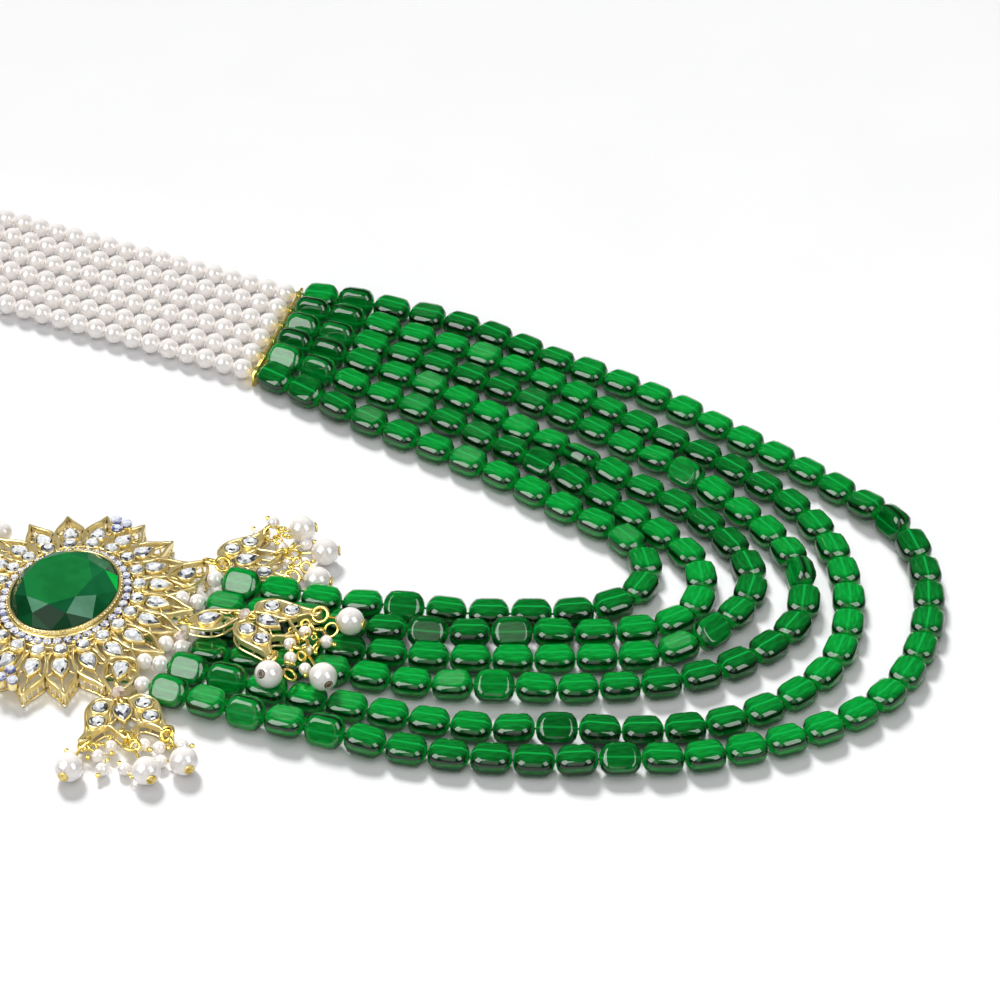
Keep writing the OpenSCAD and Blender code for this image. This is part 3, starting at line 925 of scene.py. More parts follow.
@dataclass(frozen=True)
class StoneFinish(Finish):
    """Cut glass on foil: each facet shows its own tone, as it mirrors another part of the room."""

    tones: Stops
    cloud: str
    cloud_mm: float

    def pattern(self, tree: NodeTree, place: NodeSocket) -> dict[str, Node]:
        """Lays facet tones, which are painted reflections, clouded by the foil.

        Args:
            tree: The material's tree.
            place: Its Object coordinates.

        Returns:
            A node for each of the shader's inputs that has a pattern.
        """
        facet = add_node(tree, "Attribute", {"attribute_name": "facet"}).outputs["Fac"]
        tone = add_node(tree, "ValToRGB", {"stops": self.tones}, {"Fac": facet})
        size = {"Scale": per_metre(self.cloud_mm), "Detail": 2.0}
        foil = add_node(tree, "TexNoise", size, {"Vector": place})
        stops = ((0.4, self.cloud), (0.56, "#ffffff"))
        cloud = add_node(tree, "ValToRGB", {"stops": stops}, {"Fac": foil})
        both = {"blend_type": "MULTIPLY", "Fac": 1.0}
        return {"Base Color": add_node(tree, "MixRGB", both, {"Color1": tone, "Color2": cloud})}


class Finishes:
    """All materials of the necklace, made once."""

    def __init__(self) -> None:
        """Makes each material."""
        # Glass pressed in a mould, then tumbled: a wet gloss over a deep clear green
        self.green_glass = GlassBeadFinish(
            "pressed_emerald_glass", {"Roughness": 0.05, "IOR": 1.5, "Transmission Weight": 0.1}
        ).make()
        # A glass ball dipped in nacre lacquer: a satin glow under a small sharp highlight
        self.pearl = PearlFinish(
            "lacquered_glass_pearl",
            {"Roughness": 0.2, "IOR": 1.65, "Coat Weight": 1.0, "Coat Roughness": 0.04},
            tones=("#fbf5f0", "#fffaf6"),
            cloud_mm=3.0,
            detail=3.0,
        ).make()
        # Cast brass, plated, aged and handled: a broad pale shine, with painted shade that darkens
        # the hollows
        self.antique_gold = GoldFinish(
            "gold_plated_cast_brass", {"Metallic": 0.74, "Roughness": 0.28}
        ).make()
        # Drawn brass wire with fresh plate: yellower, with a tighter shine
        self.bright_gold = GoldFinish(
            "bright_gold_plated_wire",
            {"Metallic": 0.8, "Roughness": 0.22},
            bright="#f0d258",
            wear_and_glint="#fcea98",
            dark="#86661a",
            shade_reach_mm=0.4,
        ).make()
        # Sheet hammered by hand and plated: the glitter of its dents is painted into its colour as
        # light and dark spots
        self.disc_gold = GoldFinish(
            "hammered_gold_plated_disc",
            {"Metallic": 0.6, "Roughness": 0.32},
            bright="#b48e22",
            wear_and_glint="#fff0a0",
            dark="#a07c18",
            cloud_mm=0.8,
            shade_reach_mm=0.3,
            grain_mm=0.5,
            grain_deep_mm=0.12,
        ).make()
        # Clear glass, cut flat and foiled behind: grey, white and mirror facets side by side
        self.clear_glass = StoneFinish(
            "foiled_flat_cut_glass",
            {"Metallic": 0.1, "Roughness": 0.12, "Coat Weight": 1.0, "Coat Roughness": 0.02},
            tones=((0.0, "#44484e"), (0.15, "#96999e"), (0.35, "#dcdee0"), (0.65, "#ffffff")),
            cloud="#d4d8dc",
            cloud_mm=1.2,
        ).make()
        # Tiny machine-cut glass on foil: the same play of facets, bluish
        self.rhinestone = StoneFinish(
            "foiled_rhinestone_glass",
            {"Metallic": 0.1, "Roughness": 0.08, "Coat Weight": 1.0, "Coat Roughness": 0.02},
            tones=((0.0, "#6068a0"), (0.3, "#b4bce0"), (0.55, "#eceffc"), (1.0, "#ffffff")),
            cloud="#c8d0ea",
            cloud_mm=0.5,
        ).make()
        # Clear glass with a blush, faceted all round: warm white facets
        self.pink_glass = StoneFinish(
            "pale_pink_faceted_glass",
            {"Roughness": 0.05, "IOR": 1.5, "Coat Weight": 1.0, "Coat Roughness": 0.02},
            tones=((0.0, "#c8b49c"), (0.3, "#f0e0d4"), (0.6, "#fceee6"), (1.0, "#ffffff")),
            cloud="#e4d0c8",
            cloud_mm=1.0,
        ).make()
        # Green glass, step cut on foil: each facet one calm green, two of them pale with the sky
        self.centre_glass = StoneFinish(
            "foiled_emerald_cut_glass",
            {"Roughness": 0.04, "IOR": 1.55, "Specular IOR Level": 0.05},
            tones=(
                (0.0, "#063416"), (0.25, "#125430"), (0.5, "#186a3c"), (0.7, "#1a7439"),
                (0.82, "#10c04c"), (0.92, "#5e9476"), (1.0, "#6ca286"),
            ),
            cloud="#dce8e0",
            cloud_mm=9.0,
        ).make()
        # Twisted nylon: matt, lighter and darker by the turn
        self.thread = CloudFinish(
            "green_nylon_thread", {"Roughness": 0.6}, tones=("#0c5a28", "#1a7a3c"), cloud_mm=0.8
        ).make()
        # The rough wall of a drilled hole: a dull brown shade
        # A dark disc in each open drill hole, a dull brown: painted shade for the hole's inside
        self.hole = CloudFinish(
            "drill_hole_painted_shade", {"Roughness": 0.7}, tones=("#2c200c", "#806228"), cloud_mm=1.0
        ).make()
        # Uncoated paper: matt and nearly even
        self.paper = CloudFinish(
            "white_studio_paper", {"Roughness": 0.9}, tones=("#e9e9ea", "#ebebec"), cloud_mm=60.0
        ).make()


# The studio


@dataclass(frozen=True)
class Box:
    """A soft light in metres, that stands by its way to the image's right, the camera and up."""

    name: str
    way: Spot
    away: float
    wide: float
    high: float
    glow: float
    mirrored: bool


BOXES = (
    Box("overhead_fill", (0.0, 0.1, 1.0), away=1.6, wide=1.6, high=1.4, glow=1.1, mirrored=False),
    Box("front_fill", (0.0, 1.0, 0.8), away=1.6, wide=1.2, high=0.8, glow=2.2, mirrored=False),
    Box(
        "left_softbox", (-0.649, 0.405, 0.643), away=1.0, wide=0.74, high=0.9, glow=7.4,
        mirrored=True,
    ),
    Box(
        "right_softbox", (0.56, 0.521, 0.643), away=1.0, wide=0.54, high=0.76, glow=6.0,
        mirrored=True,
    ),
    Box("front_glow", (-0.12, 0.86, 0.5), away=1.0, wide=0.5, high=0.8, glow=1.1, mirrored=True),
)


def aim(thing: Object, way: Vector) -> None:
    """Turns a camera or light to look along a way, its own up kept up."""
    thing.rotation_euler = way.to_track_quat("-Z", "Y").to_euler()


@dataclass
class Studio:
    """Camera, pale floor and soft lights, in metres and degrees."""

    target: Vector = field(default_factory=lambda: LAYOUT_ZERO * MM)
    azimuth: float = -69.5
    elevation: float = 37.5
    distance: float = 1.185
    lens: float = 144.07
    sensor: float = 36.0
    view_end: float = 60.0
    floor_size: float = 14.0
    key_way: Spot = (-0.25, -0.9, 0.9)
    key_strength: float = 3.5
    key_angle: float = 16.0
    room: str = "#fafafa"
    room_strength: float = 0.09

    def aside(self, right: float, towards: float, up: float) -> Vector:
        """Turns a lean as the camera sees it into a direction.

        Args:
            right: How far it leans to the image's right.
            towards: How far it leans to the camera, level.
            up: How far it leans up.

        Returns:
            The direction, one metre long.
        """
        a = math.radians(self.azimuth)
        r = Vector((math.cos(a), math.sin(a), 0.0))
        c = Vector((math.sin(a), -math.cos(a), 0.0))
        return (right * r + towards * c + up * Vector((0, 0, 1))).normalized()

    def camera(self) -> None:
        """Puts the camera at the photograph's angle."""
        e = math.radians(self.elevation)
        place = self.target + self.distance * self.aside(0, math.cos(e), math.sin(e))
        bpy.ops.object.camera_add(location=place)
        camera = bpy.context.object
        camera.name = "photo_camera"
        aim(camera, self.target - place)
        camera.data.lens = self.lens
        camera.data.sensor_width = self.sensor
        camera.data.clip_end = self.view_end
        bpy.context.scene.camera = camera

    def softbox(self, box: Box) -> None:
        """Sets up one soft light that looks at the necklace.

        Args:
            box: The light.
        """
        way = self.aside(*box.way)
        bpy.ops.object.light_add(type="AREA", location=self.target + way * box.away)
        light = bpy.context.object
        light.name = box.name
        aim(light, -way)
        light.data.shape = "RECTANGLE"
        light.data.size = box.wide
        light.data.size_y = box.high
        light.data.energy = box.glow * math.pi * box.wide * box.high
        light.visible_glossy = box.mirrored
        light.visible_diffuse = not box.mirrored

    def lights(self) -> None:
        """Sets up a key light from behind, which gives the shadows, and the soft lights.

        Boxes that show in the gloss give no other light, and the fills don't show in it.
        """
        bpy.ops.object.light_add(type="SUN", location=(0, 0, 2))
        key = bpy.context.object
        key.name = "key_light"
        aim(key, -self.aside(*self.key_way))
        key.data.energy = self.key_strength
        key.data.angle = math.radians(self.key_angle)
        key.visible_glossy = False
        for box in BOXES:
            self.softbox(box)

    def air(self) -> None:
        """Fills the room with a faint even light."""
        world = bpy.data.worlds.new("pale_room")
        bpy.context.scene.world = world
        world.use_nodes = True
        tree = world.node_tree
        tree.nodes.clear()
        sky = add_node(tree, "Background", {"Color": self.room, "Strength": self.room_strength})
        add_node(tree, "OutputWorld", links={"Surface": sky})
        bpy.context.scene.view_settings.view_transform = "Standard"

    def floor(self, paper: Material) -> None:
        """Lays the plain pale floor.

        Args:
            paper: Its material.
        """
        floor = primitive("studio_floor", "plane", size=self.floor_size)
        floor.data.materials.append(paper)


# Green glass strings


@dataclass(frozen=True)
class Route:
    """One green string: the points that it goes through, where it ends and its beads."""

    points: tuple[Point, ...]
    end: Point
    beads: int


ROUTES = (
    Route(
        ((72, 88), (74, 76), (76, 42), (68, 8), (61, -26), (49, -59), (36, -92), (18, -121),
         (-14, -135), (-49, -134), (-76, -115), (-97, -85), (-110, -51), (-118, -17), (-120, 19),
         (-120, 43), (-119, 53)),
        (-119, 59), 44),
    Route(
        ((63, 87), (65, 76), (64, 42), (57, 7), (45, -27), (34, -61), (17, -92), (-12, -111),
         (-46, -115), (-76, -96), (-92, -65), (-103, -31), (-107, 5), (-109, 41), (-109, 53)),
        (-109, 58), 39),
    Route(
        ((54, 86), (55, 76), (53, 42), (45, 7), (34, -27), (21, -59), (1, -89), (-28, -101),
         (-59, -84), (-77, -53), (-89, -19), (-94, 15), (-97, 38), (-99, 50)),
        (-99, 56), 35),
    Route(
        ((46, 85), (46, 75), (42, 40), (31, 7), (19, -28), (7, -61), (-16, -84), (-50, -75),
         (-67, -43), (-79, -9), (-86, 26), (-88, 50)),
        (-88, 56), 31),
    Route(
        ((38, 85), (36, 74), (30, 40), (20, 7), (8, -27), (-8, -60), (-17, -68), (-28, -72),
         (-38, -70), (-47, -61), (-57, -39), (-70, -6), (-75, 30), (-79, 54)),
        (-79, 60), 28),
    Route(
        ((29, 84), (25, 73), (16, 40), (8, 6), (-4, -28), (-8, -41), (-16, -51), (-27, -55),
         (-38, -51), (-46, -40), (-51, -28), (-62.4, 6), (-67.6, 42), (-70.6, 53)),
        (-69, 59), 24),
)


@dataclass
class Spacer:
    """The bar between the pearls and the green beads: a thin strip that swells round its holes."""

    middle: Point = (51.2, 93.0)
    slant: float = 4.8
    pitch: float = 8.5
    thick: float = 2.0
    strip: Spot = (48.6, 1.0, 4.6)
    strip_high: float = 2.5
    cup_radius: float = 2.3
    cup_long: float = 1.5
    cup_high: float = 3.0

    def step(self, k: int) -> float:
        """How far hole k lies from the bar's middle."""
        return (3.5 - k) * self.pitch

    def hole(self, k: int) -> Vector:
        """The hole of string k."""
        a = math.radians(self.slant)
        x, y = self.middle
        return Vector((x + self.step(k) * math.cos(a), y + self.step(k) * math.sin(a), 0))

    def build(self, finish: Material) -> None:
        """Builds the bar.

        Args:
            finish: Its gold.
        """
        near_top = self.strip_high + self.strip[2] / 2 - 0.1
        strap = primitive(
            "strip", "cube", size=1.0, scale=self.strip, location=(0, 0, self.strip_high)
        )
        with editing(strap):
            bevel(lambda m, w: m.z > near_top and abs(w.x) > 0.9, 0.3, 2)
        finish_mesh(strap)
        sleeve = primitive(
            "cup", "cylinder", vertices=14, radius=self.cup_radius, depth=self.cup_long,
            rotation=(math.pi / 2, 0, 0), location=(0, 0, self.cup_high),
        )
        with editing(sleeve):
            bevel(lambda m, w: abs(w.y) < 0.1, 0.35)
        finish_mesh(sleeve)
        cups = copies("cups", sleeve, [moved(self.step(k), 0) for k in STRINGS])
        drop_masters(sleeve)
        bar = joined("thin_spacer_bar", [strap, cups])
        place = moved(*self.middle) @ turned(self.slant)
        on_table(bar, finish, Slot.BRIGHT_GOLD, ["spacer_bar"], place)


@dataclass
class GreenStrings:
    """Six strings of tumbled glass beads."""

    length: float = 11.3
    width: float = 9.2
    thick: float = 6.0
    gap: float = 0.32
    clear: float = 0.15
    corner: float = 3.4
    edge: float = 1.9
    # Turned beads: (string, bead): degrees
    told: dict[tuple[int, int], float] = field(
        default_factory=lambda: {
            (1, 0): 14, (2, 0): 66, (3, 0): 60, (4, 0): 68, (5, 0): 42, (6, 0): 18,
            (1, 1): 68, (2, 1): 74, (3, 1): 64, (4, 1): 76, (5, 1): 68, (6, 1): 24,
            (1, 18): 70, (1, 32): 38, (1, 39): 62, (1, 41): 60, (1, 43): 44,
            (2, 29): 40, (2, 37): 60, (2, 38): 40, (3, 12): 42, (3, 17): 66, (3, 27): 36,
            (4, 9): -35, (4, 18): 40, (5, 8): 30, (5, 20): 44, (5, 22): 46,
            (6, 19): 42, (6, 22): 10, (6, 23): 38,
        }
    )

    def turn(self, k: int, i: int) -> float:
        """The turn of bead i on string k: as told, or a few degrees either way."""
        return self.told.get((k, i), 5 * math.sin(math.radians(137.5 * i + 61 * k)))

    def rise(self, k: int, i: int) -> float:
        """Works out how high the middle of a bead lies.

        Args:
            k: Its string.
            i: Its number.

        Returns:
            The height at which its lowest edge, turned, is just clear of the table.
        """
        half = math.sqrt(self.width**2 - self.thick**2) / 2
        a = math.radians(abs(self.turn(k, i)))
        if math.tan(a) < half / self.thick * 2:
            return self.clear + half * math.sin(a) + self.thick / 2 * math.cos(a)
        return self.clear + self.width / 2

    def joints(self, k: int) -> list[Vector]:
        """Finds the points between the beads.

        Args:
            k: The string.

        Returns:
            A point before each bead, and the last one's end.
        """
        route, spacer = ROUTES[k - 1], Spacer()
        start = spacer.hole(k) - Vector((0, spacer.thick / 2 + 0.5, 0))
        through = [start, *level((*route.points, route.end))]
        flat = evenly(curve_through(through, 8), route.beads)
        for i, p in enumerate(flat):
            before = self.rise(k, i - 1) if i > 0 else 0.0
            after = self.rise(k, i) if i < route.beads else 0.0
            p.z = max(before, after)
        return flat

    def bead(self) -> Object:
        """Makes one bead along X: a tumbled block, flat above and below, drilled lengthways.

        Returns:
            The bead, with each point's own place in the attribute `own_mm`.
        """
        near_end, near_flat = self.length / 2 - 1.2, self.thick / 2 - 0.001
        bead = primitive(
            "glass_bead", "cube", size=1.0, scale=(self.length, self.width, self.thick)
        )
        with editing(bead):
            bevel(lambda m, w: abs(w.z) > 0.9, self.corner, 3)
            bevel(lambda m, w: abs(m.z) > near_flat, self.edge, 2)
            # Tumbling thins the ends a little
            for side in (-1, 1):
                pick(Part.VERT, lambda m, n: side * m.x > near_end)
                bpy.ops.transform.resize(value=(1, 0.94, 0.86), center_override=(0, 0, 0))
            pick(Part.FACE, lambda m, n: abs(n.x) > 0.99)
            bpy.ops.mesh.inset(thickness=0.3)
            bpy.ops.mesh.delete(type="FACE")
            bpy.ops.mesh.select_mode(type="EDGE")
            bpy.ops.mesh.select_non_manifold()
            bpy.ops.mesh.bridge_edge_loops()
        finish_mesh(bead, lambda n: abs(n.z) > 0.995)
        own = bead.data.attributes.new("own_mm", "FLOAT_VECTOR", "POINT")
        own.data.foreach_set("vector", [c for v in bead.data.vertices for c in v.co])
        return bead

    def build(self, finish: Material) -> None:
        """Strings the beads.

        Args:
            finish: Their glass.
        """
        bead = self.bead()
        for k in STRINGS:
            joints, places, shades = self.joints(k), [], []
            for i, (a, b) in enumerate(zip(joints, joints[1:])):
                room = (b - a).length - self.gap
                wide = 1.0 + 0.02 * math.sin(2.3 * i + k)
                fit = Matrix.Diagonal((min(room / self.length, 1.02), wide, 1.0, 1.0))
                # Turned beads show their flats to the front on both arms
                side = 1 if b.y < a.y else -1
                places.append(along(a, b, side * self.turn(k, i)) @ fit)
                shades.append(scattered(i, 78.233 * k))
            string = copies(f"green_beads_{k}", bead, places, shades)
            on_table(string, finish, Slot.GREEN_GLASS, [f"green_string_{k}"])
        drop_masters(bead)


# Pearls


def pearl_ball(
    name: str, diameter: float, sides: int = 12, rings: int = 8, bore: float = 0.0
) -> Object:
    """Makes a pearl drilled along X.

    Args:
        name: The piece's name.
        diameter: Its diameter.
        sides: Facets round it.
        rings: Facets along it.
        bore: Diameter of the holes' mouths, or 0 where they don't show.

    Returns:
        A closed mesh.
    """
    radius = diameter / 2
    ball = primitive(
        name, "uv_sphere", segments=sides, ring_count=rings, radius=radius,
        rotation=(0, math.pi / 2, 0),
    )
    if bore > 0:
        # Each pole becomes a mouth that stands out a little, and a blind hole behind it
        reach = radius * math.cos(math.pi / rings) - 0.01
        share = bore / 2 / (radius * math.sin(math.pi / rings))
        with editing(ball):
            for side in (-1, 1):
                pick(Part.VERT, lambda m, n: side * m.x > reach + 0.02 and m.yz.length < 0.01)
                bpy.ops.mesh.delete(type="VERT")
                pick(Part.EDGE, lambda m, w: side * m.x > reach * 0.985 and abs(w.x) < 0.1)
                extrude(x=side * diameter * 0.03)
                bpy.ops.transform.resize(value=(1, share, share), center_override=(0, 0, 0))
                extrude(x=-side * diameter * 0.3)
                bpy.ops.mesh.edge_face_add()
    return finish_mesh(ball)


@dataclass
class PearlArms:
    """Six strings of pearls up each arm and round the neck to the end bars."""

    diameter: float = 6.4
    pitch: float = 6.36
    height: float = 3.3
    # The near strings start in even steps along the brooch's oval edge
    near_first: float = -69.0
    near_step: float = 8.4
    brooch_edge: Point = (41.3, 35.5)
    near_clear: float = 1.2
    far_clear: Point = (0.25, 1.6)
    # Where the arms turn, how far each leans out up to there, and how high each string ends
    neck_x: float = -18.0
    neck_y: float = 205.0
    lean: Point = (8.0, -5.0)
    neck_rise: tuple[float, ...] = (102, 94.6, 87.2, 76.8, 69.4, 62)
    bar_reach: float = 9.9
    bend_steps: int = 24

    def near_start(self, k: int) -> Vector:
        """Finds where a near string leaves the brooch's edge.

        Args:
            k: The string.

        Returns:
            Its first point.
        """
        a, b = self.brooch_edge
        x = self.near_first - (6 - k) * self.near_step
        edge = b * math.sqrt(1 - ((x - BROOCH_MIDDLE.x) / a) ** 2)
        return Vector((x, BROOCH_MIDDLE.y + edge + self.near_clear, self.height))

    def far_start(self, k: int) -> Vector:
        """Where string k leaves the spacer."""
        hole = Spacer().hole(k)
        return Vector((hole.x + self.far_clear[0], hole.y + self.far_clear[1], self.height))

    def line(self, k: int, side: int) -> list[Vector]:
        """Draws one string: straight up the arm, then a quarter turn to its end bar.

        Args:
            k: The string.
            side: 1 for the far arm, -1 for the near one.

        Returns:
            The points of its line.
        """
        start = self.far_start(k) if side > 0 else self.near_start(k)
        lean = self.lean[0] if side > 0 else self.lean[1]
        rise = self.neck_rise[k - 1]
        turn_at = Vector((start.x + lean, self.neck_y, self.height))
        lead = Vector((turn_at.x + side * 4, self.neck_y + 0.6 * rise, self.height))
        end = Vector((self.neck_x + side * self.bar_reach, self.neck_y + rise, self.height))
        tail = Vector((end.x + 0.52 * (turn_at.x - end.x), end.y, self.height))
        straight = [start.lerp(turn_at, s / 4) for s in range(4)]
        bend = []
        for s in range(self.bend_steps + 1):
            t = s / self.bend_steps
            bend.append(
                turn_at * (1 - t) ** 3 + 3 * lead * t * (1 - t) ** 2
                + 3 * tail * t * t * (1 - t) + end * t**3
            )
        return straight + bend

    def build(self, finish: Material) -> None:
        """Strings the pearls.

        Args:
            finish: Their nacre.
        """
        pearl = pearl_ball("neck_pearl", self.diameter)
        for side, arm in ((1, "far"), (-1, "near")):
            for k in STRINGS:
                line = self.line(k, side)
                long = length_of(line)
                count = round(long / self.pitch)
                marks = evenly(line, count)
                scale = Matrix.Scale(min(1.0, long / count / self.diameter), 4)
                places = [
                    along(a, b, 47.0 * i + 13 * k) @ scale
                    for i, (a, b) in enumerate(zip(marks, marks[1:]))
                ]
                string = copies(f"{arm}_arm_pearls_{k}", pearl, places)
                on_table(string, finish, Slot.PEARL, [f"{arm}_pearls_{k}"])
        drop_masters(pearl)


@dataclass
class JoiningPearls:
    """One small drilled pearl between each string's last bead and the brooch."""

    diameter: float = 4.8
    bore: float = 1.1
    height: float = 2.9
    bar_y: float = 23.5
    # Strings with a second pearl, up against the petals, and one loose pearl by the lowest petal
    doubled: tuple[int, ...] = (2, 3, 5)
    loose: Spot = (-92.6, 57.6, 2.7)

    def build(self, strings: GreenStrings, finish: Material) -> None:
        """Puts the pearls beyond the last beads.

        Args:
            strings: The strings that they stand on.
            finish: Their nacre.
        """
        pearl = pearl_ball("joining_pearl", self.diameter, 14, 9, self.bore)
        places = []
        for k in STRINGS:
            last = strings.joints(k)[-1]
            end = Vector((ROUTES[k - 1].end[0], BROOCH_MIDDLE.y - self.bar_y, self.height))
            way = (end - last).normalized()
            centre = last + way * (self.diameter / 2 + 0.15)
            places.append(pointed(centre, way))
            if k in self.doubled:
                places.append(pointed(centre + way * (self.diameter + 0.1), way))
        places.append(moved(*self.loose) @ turned(60))
        string = copies("small_joining_pearls", pearl, places)
        on_table(string, finish, Slot.PEARL, ["joining_pearls"])
        drop_masters(pearl)


# The brooch


@dataclass(frozen=True)
class Hoop:
    """An oval ring of the brooch: half-axes, band over the plate, and corners round it."""

    oval: Point
    band: Band
    corners: int = 64


@dataclass
class Brooch:
    """Oval openwork side brooch: petals on a slotted gallery, collets, stone ring and bezel."""

    petals: int = 22
    pear_oval: Point = (30.7, 25.7)
    round_oval: Point = (24.8, 20.2)
    plate: float = 5.2
    slope: float = 0.085
    leaf_side: tuple[Point, ...] = (
        (-6.2, 2.0), (-3.5, 3.3), (-1.0, 4.1), (1.5, 4.35), (4.0, 3.7), (6.0, 2.5), (7.8, 1.3),
        (9.3, 0.6), (10.6, 0.0),
    )
    lobe_side: tuple[Point, ...] = (
        (-6.0, 2.0), (-5.0, 3.6), (-2.5, 4.6), (0.0, 4.7), (2.5, 4.1), (4.8, 2.8), (6.6, 1.4),
        (7.9, 0.0),
    )
    # Round lobes among the petals: x, y and the way that each points
    lobes: tuple[Spot, ...] = ((23.7, -27.9, -14.0), (-23.7, -27.9, 194.0))
    lobe_stone: float = -1.0
    # A petal's wires over the plate, and its foot over the table
    rim: Band = Band(0.4, -0.1, 1.4)
    wall: Band = Band(0.26, -1.7, 0.4)
    foot: Band = Band(0.42, 0.02, 0.95)
    middle_rib: Band = Band(0.26, 0.1, 1.0)
    side_rib: Band = Band(0.24, 0.1, 1.0)
    post: Band = Band(0.36, 0.5, -1.1)
    # Collets and stones over the plate, the pears' sizes as shares of their outline
    pear_collet: Collet = Collet(-0.2, 1.75, rim=0.36, deep=0.7)
    round_collet: Collet = Collet(0.2, 2.4, rim=0.36, deep=0.7)
    pear_cut: Cut = Cut(1.1, girdle=0.45, crown=0.7, table=0.62)
    round_cut: Cut = Cut(1.8, girdle=0.45, crown=0.7, table=0.6)
    tiny_cut: Cut = Cut(0.0, girdle=0.35, crown=0.42, table=0.58)
    pear_cup_size: float = 1.24
    pear_size: float = 1.06
    round_cup_radius: float = 2.35
    round_radius: float = 1.95
    tiny_radius: float = 1.4
    # From the petals in to the centre stone
    hoops: tuple[Hoop, ...] = (
        Hoop((24.8, 20.2), Band(0.5, 0.0, 1.2)),
        Hoop((22.3, 18.4), Band(0.36, 0.0, 1.4)),
        Hoop((20.7, 16.9), Band(1.25, -0.5, 2.0)),
        Hoop((19.2, 15.5), Band(0.5, 0.0, 2.7)),
        Hoop((18.7, 15.0), Band(0.32, 1.0, 4.2), 72),
    )
    back_oval: Point = (19.5, 15.8)
    back_plate: Point = (-0.2, 1.0)
    # Clusters of three tiny stones between petals at both ends, in narrow cups sunk a little,
    # the stones larger than those of the ring and lower
    spots: tuple[Point, ...] = (
        (37.4, 1.4), (36.9, -2.1), (34.0, -0.4), (-34.6, 0.4), (-38.3, 1.6), (-38.5, -2.1),
    )
    spot_cup: Point = (0.62, -1.3)
    spot_stone: Point = (1.25, -0.35)
    grain: float = 0.36
    grain_oval: Point = (19.25, 15.55)
    grain_high: float = 4.1
    grains: int = 88
    # The ring of tiny stones: its own oval and those of the claws on both sides of it
    tiny_oval: Point = (20.8, 17.0)
    claw_ovals: tuple[Point, Point] = ((21.9, 18.0), (19.75, 16.0))
    claw_high: float = 2.45
    tiny: int = 39
    tiny_high: float = 1.85

    def station(self, ring: Point, k: float) -> Matrix:
        """Finds a petal's place on an oval.

        Args:
            ring: The oval's half-axes.
            k: The petal.

        Returns:
            A frame on the oval, X outwards. The angle is evened out for equal steps.
        """
        f = -90 + 360 * k / self.petals
        a, b = ring
        flat = (a * a - b * b) / (a * a + b * b) / 4
        even = flat * math.degrees(1) * math.sin(math.radians(2 * f))
        t = math.radians(f + even)
        way = math.degrees(math.atan2(a * math.sin(t), b * math.cos(t)))
        return moved(a * math.cos(t), b * math.sin(t)) @ turned(way)

    def stations(self, ring: Point) -> list[Matrix]:
        """The places of all petals on an oval."""
        return [self.station(ring, k) for k in range(self.petals)]

    def lobe_places(self) -> list[Matrix]:
        """The places of the two lobes."""
        return [moved(x, y) @ turned(a) for x, y, a in self.lobes]

    def slumped(self, piece: Object, base: float) -> Object:
        """Lets a petal droop towards its tip, its foot left on the table.

        Args:
            piece: The petal, or a stone of it.
            base: Where the petal starts.

        Returns:
            The same piece.
        """
        for v in piece.data.vertices:
            v.co.z -= self.slope * (v.co.x - base) * min(max(v.co.z, 0) / self.plate, 1.3)
        return piece

    def leaf(self, side: Sequence[Point], stone_at: float) -> Object:
        """Makes one petal: rim, gallery wall with windows, foot wire, collet and ribs.

        Args:
            side: Half its outline, its tip last.
            stone_at: Where its stone's middle is.

        Returns:
            The petal in its own frame, X outwards.
        """
        outline, top, tip = both_sides(side, 3), self.plate, side[-1][0]
        outer = [p for p in outline if p.x > 0.4]
        seat = pear(self.pear_cup_size, stone_at, 2)
        parts = [
            strip("rim", outline, self.rim, top),
            strip("wall", outer, self.wall, top, closed=False),
            strip("foot", outer, self.foot, closed=False),
            cup("collet", seat, self.pear_collet, top),
            *map(smoothed, posts(outer[::3], self.post, top)),
        ]
        # Ribs run from the stone to the tip and to the widest part of the rim
        middle = level(((stone_at + 3.8, 0.0), (tip - 0.8, 0.0)))
        parts.append(strip("rib", middle, self.middle_rib, top, closed=False))
        for s in (-1, 1):
            line = level(((stone_at + 1.2, 2.0), (2.6 + stone_at / 2, 3.7)), s)
            parts.append(strip("rib", line, self.side_rib, top, closed=False))
        return self.slumped(joined("petal", parts), side[0][0])

    def stone(self, side: Sequence[Point], at: float) -> Object:
        """The pear-shaped stone of a petal, its middle at x."""
        stone = cut_stone("pear", pear(self.pear_size, at), self.pear_cut, self.plate)
        return self.slumped(stone, side[0][0])

    def metal(self) -> Object:
        """Makes the whole frame.

        Returns:
            The frame, its middle at zero.
        """
        top = self.plate
        petal = self.leaf(self.leaf_side, 0.0)
        lobe = self.leaf(self.lobe_side, self.lobe_stone)
        radius = self.round_cup_radius
        collet = cup("round_collet", oval(radius, radius, 14), self.round_collet, top)
        grain = smoothed(primitive("grain", "ico_sphere", subdivisions=1, radius=self.grain))
        grains = [
            moved(p.x, p.y, top + self.grain_high) for p in oval(*self.grain_oval, self.grains)
        ]
        claws = [
            moved(p.x, p.y, top + self.claw_high)
            for ring in self.claw_ovals
            for p in oval(*ring, self.tiny)
        ]
        narrow, sunk = self.spot_cup
        small = Matrix.Diagonal((narrow, narrow, 1.0, 1.0))
        parts = [
            copies("petals", petal, self.stations(self.pear_oval)),
            copies("lobe_frames", lobe, self.lobe_places()),
            copies("collets", collet, self.stations(self.round_oval)),
            copies("grains", grain, grains),
            copies("claws", grain, claws),
            copies("cluster_cups", collet, [moved(*spot, sunk) @ small for spot in self.spots]),
            *(strip("hoop", oval(*h.oval, h.corners), h.band, top) for h in self.hoops),
            block("back_plate", oval(*self.back_oval, 48), *(top + z for z in self.back_plate)),
        ]
        drop_masters(petal, lobe, collet, grain)
        return joined("brooch_metal", parts)

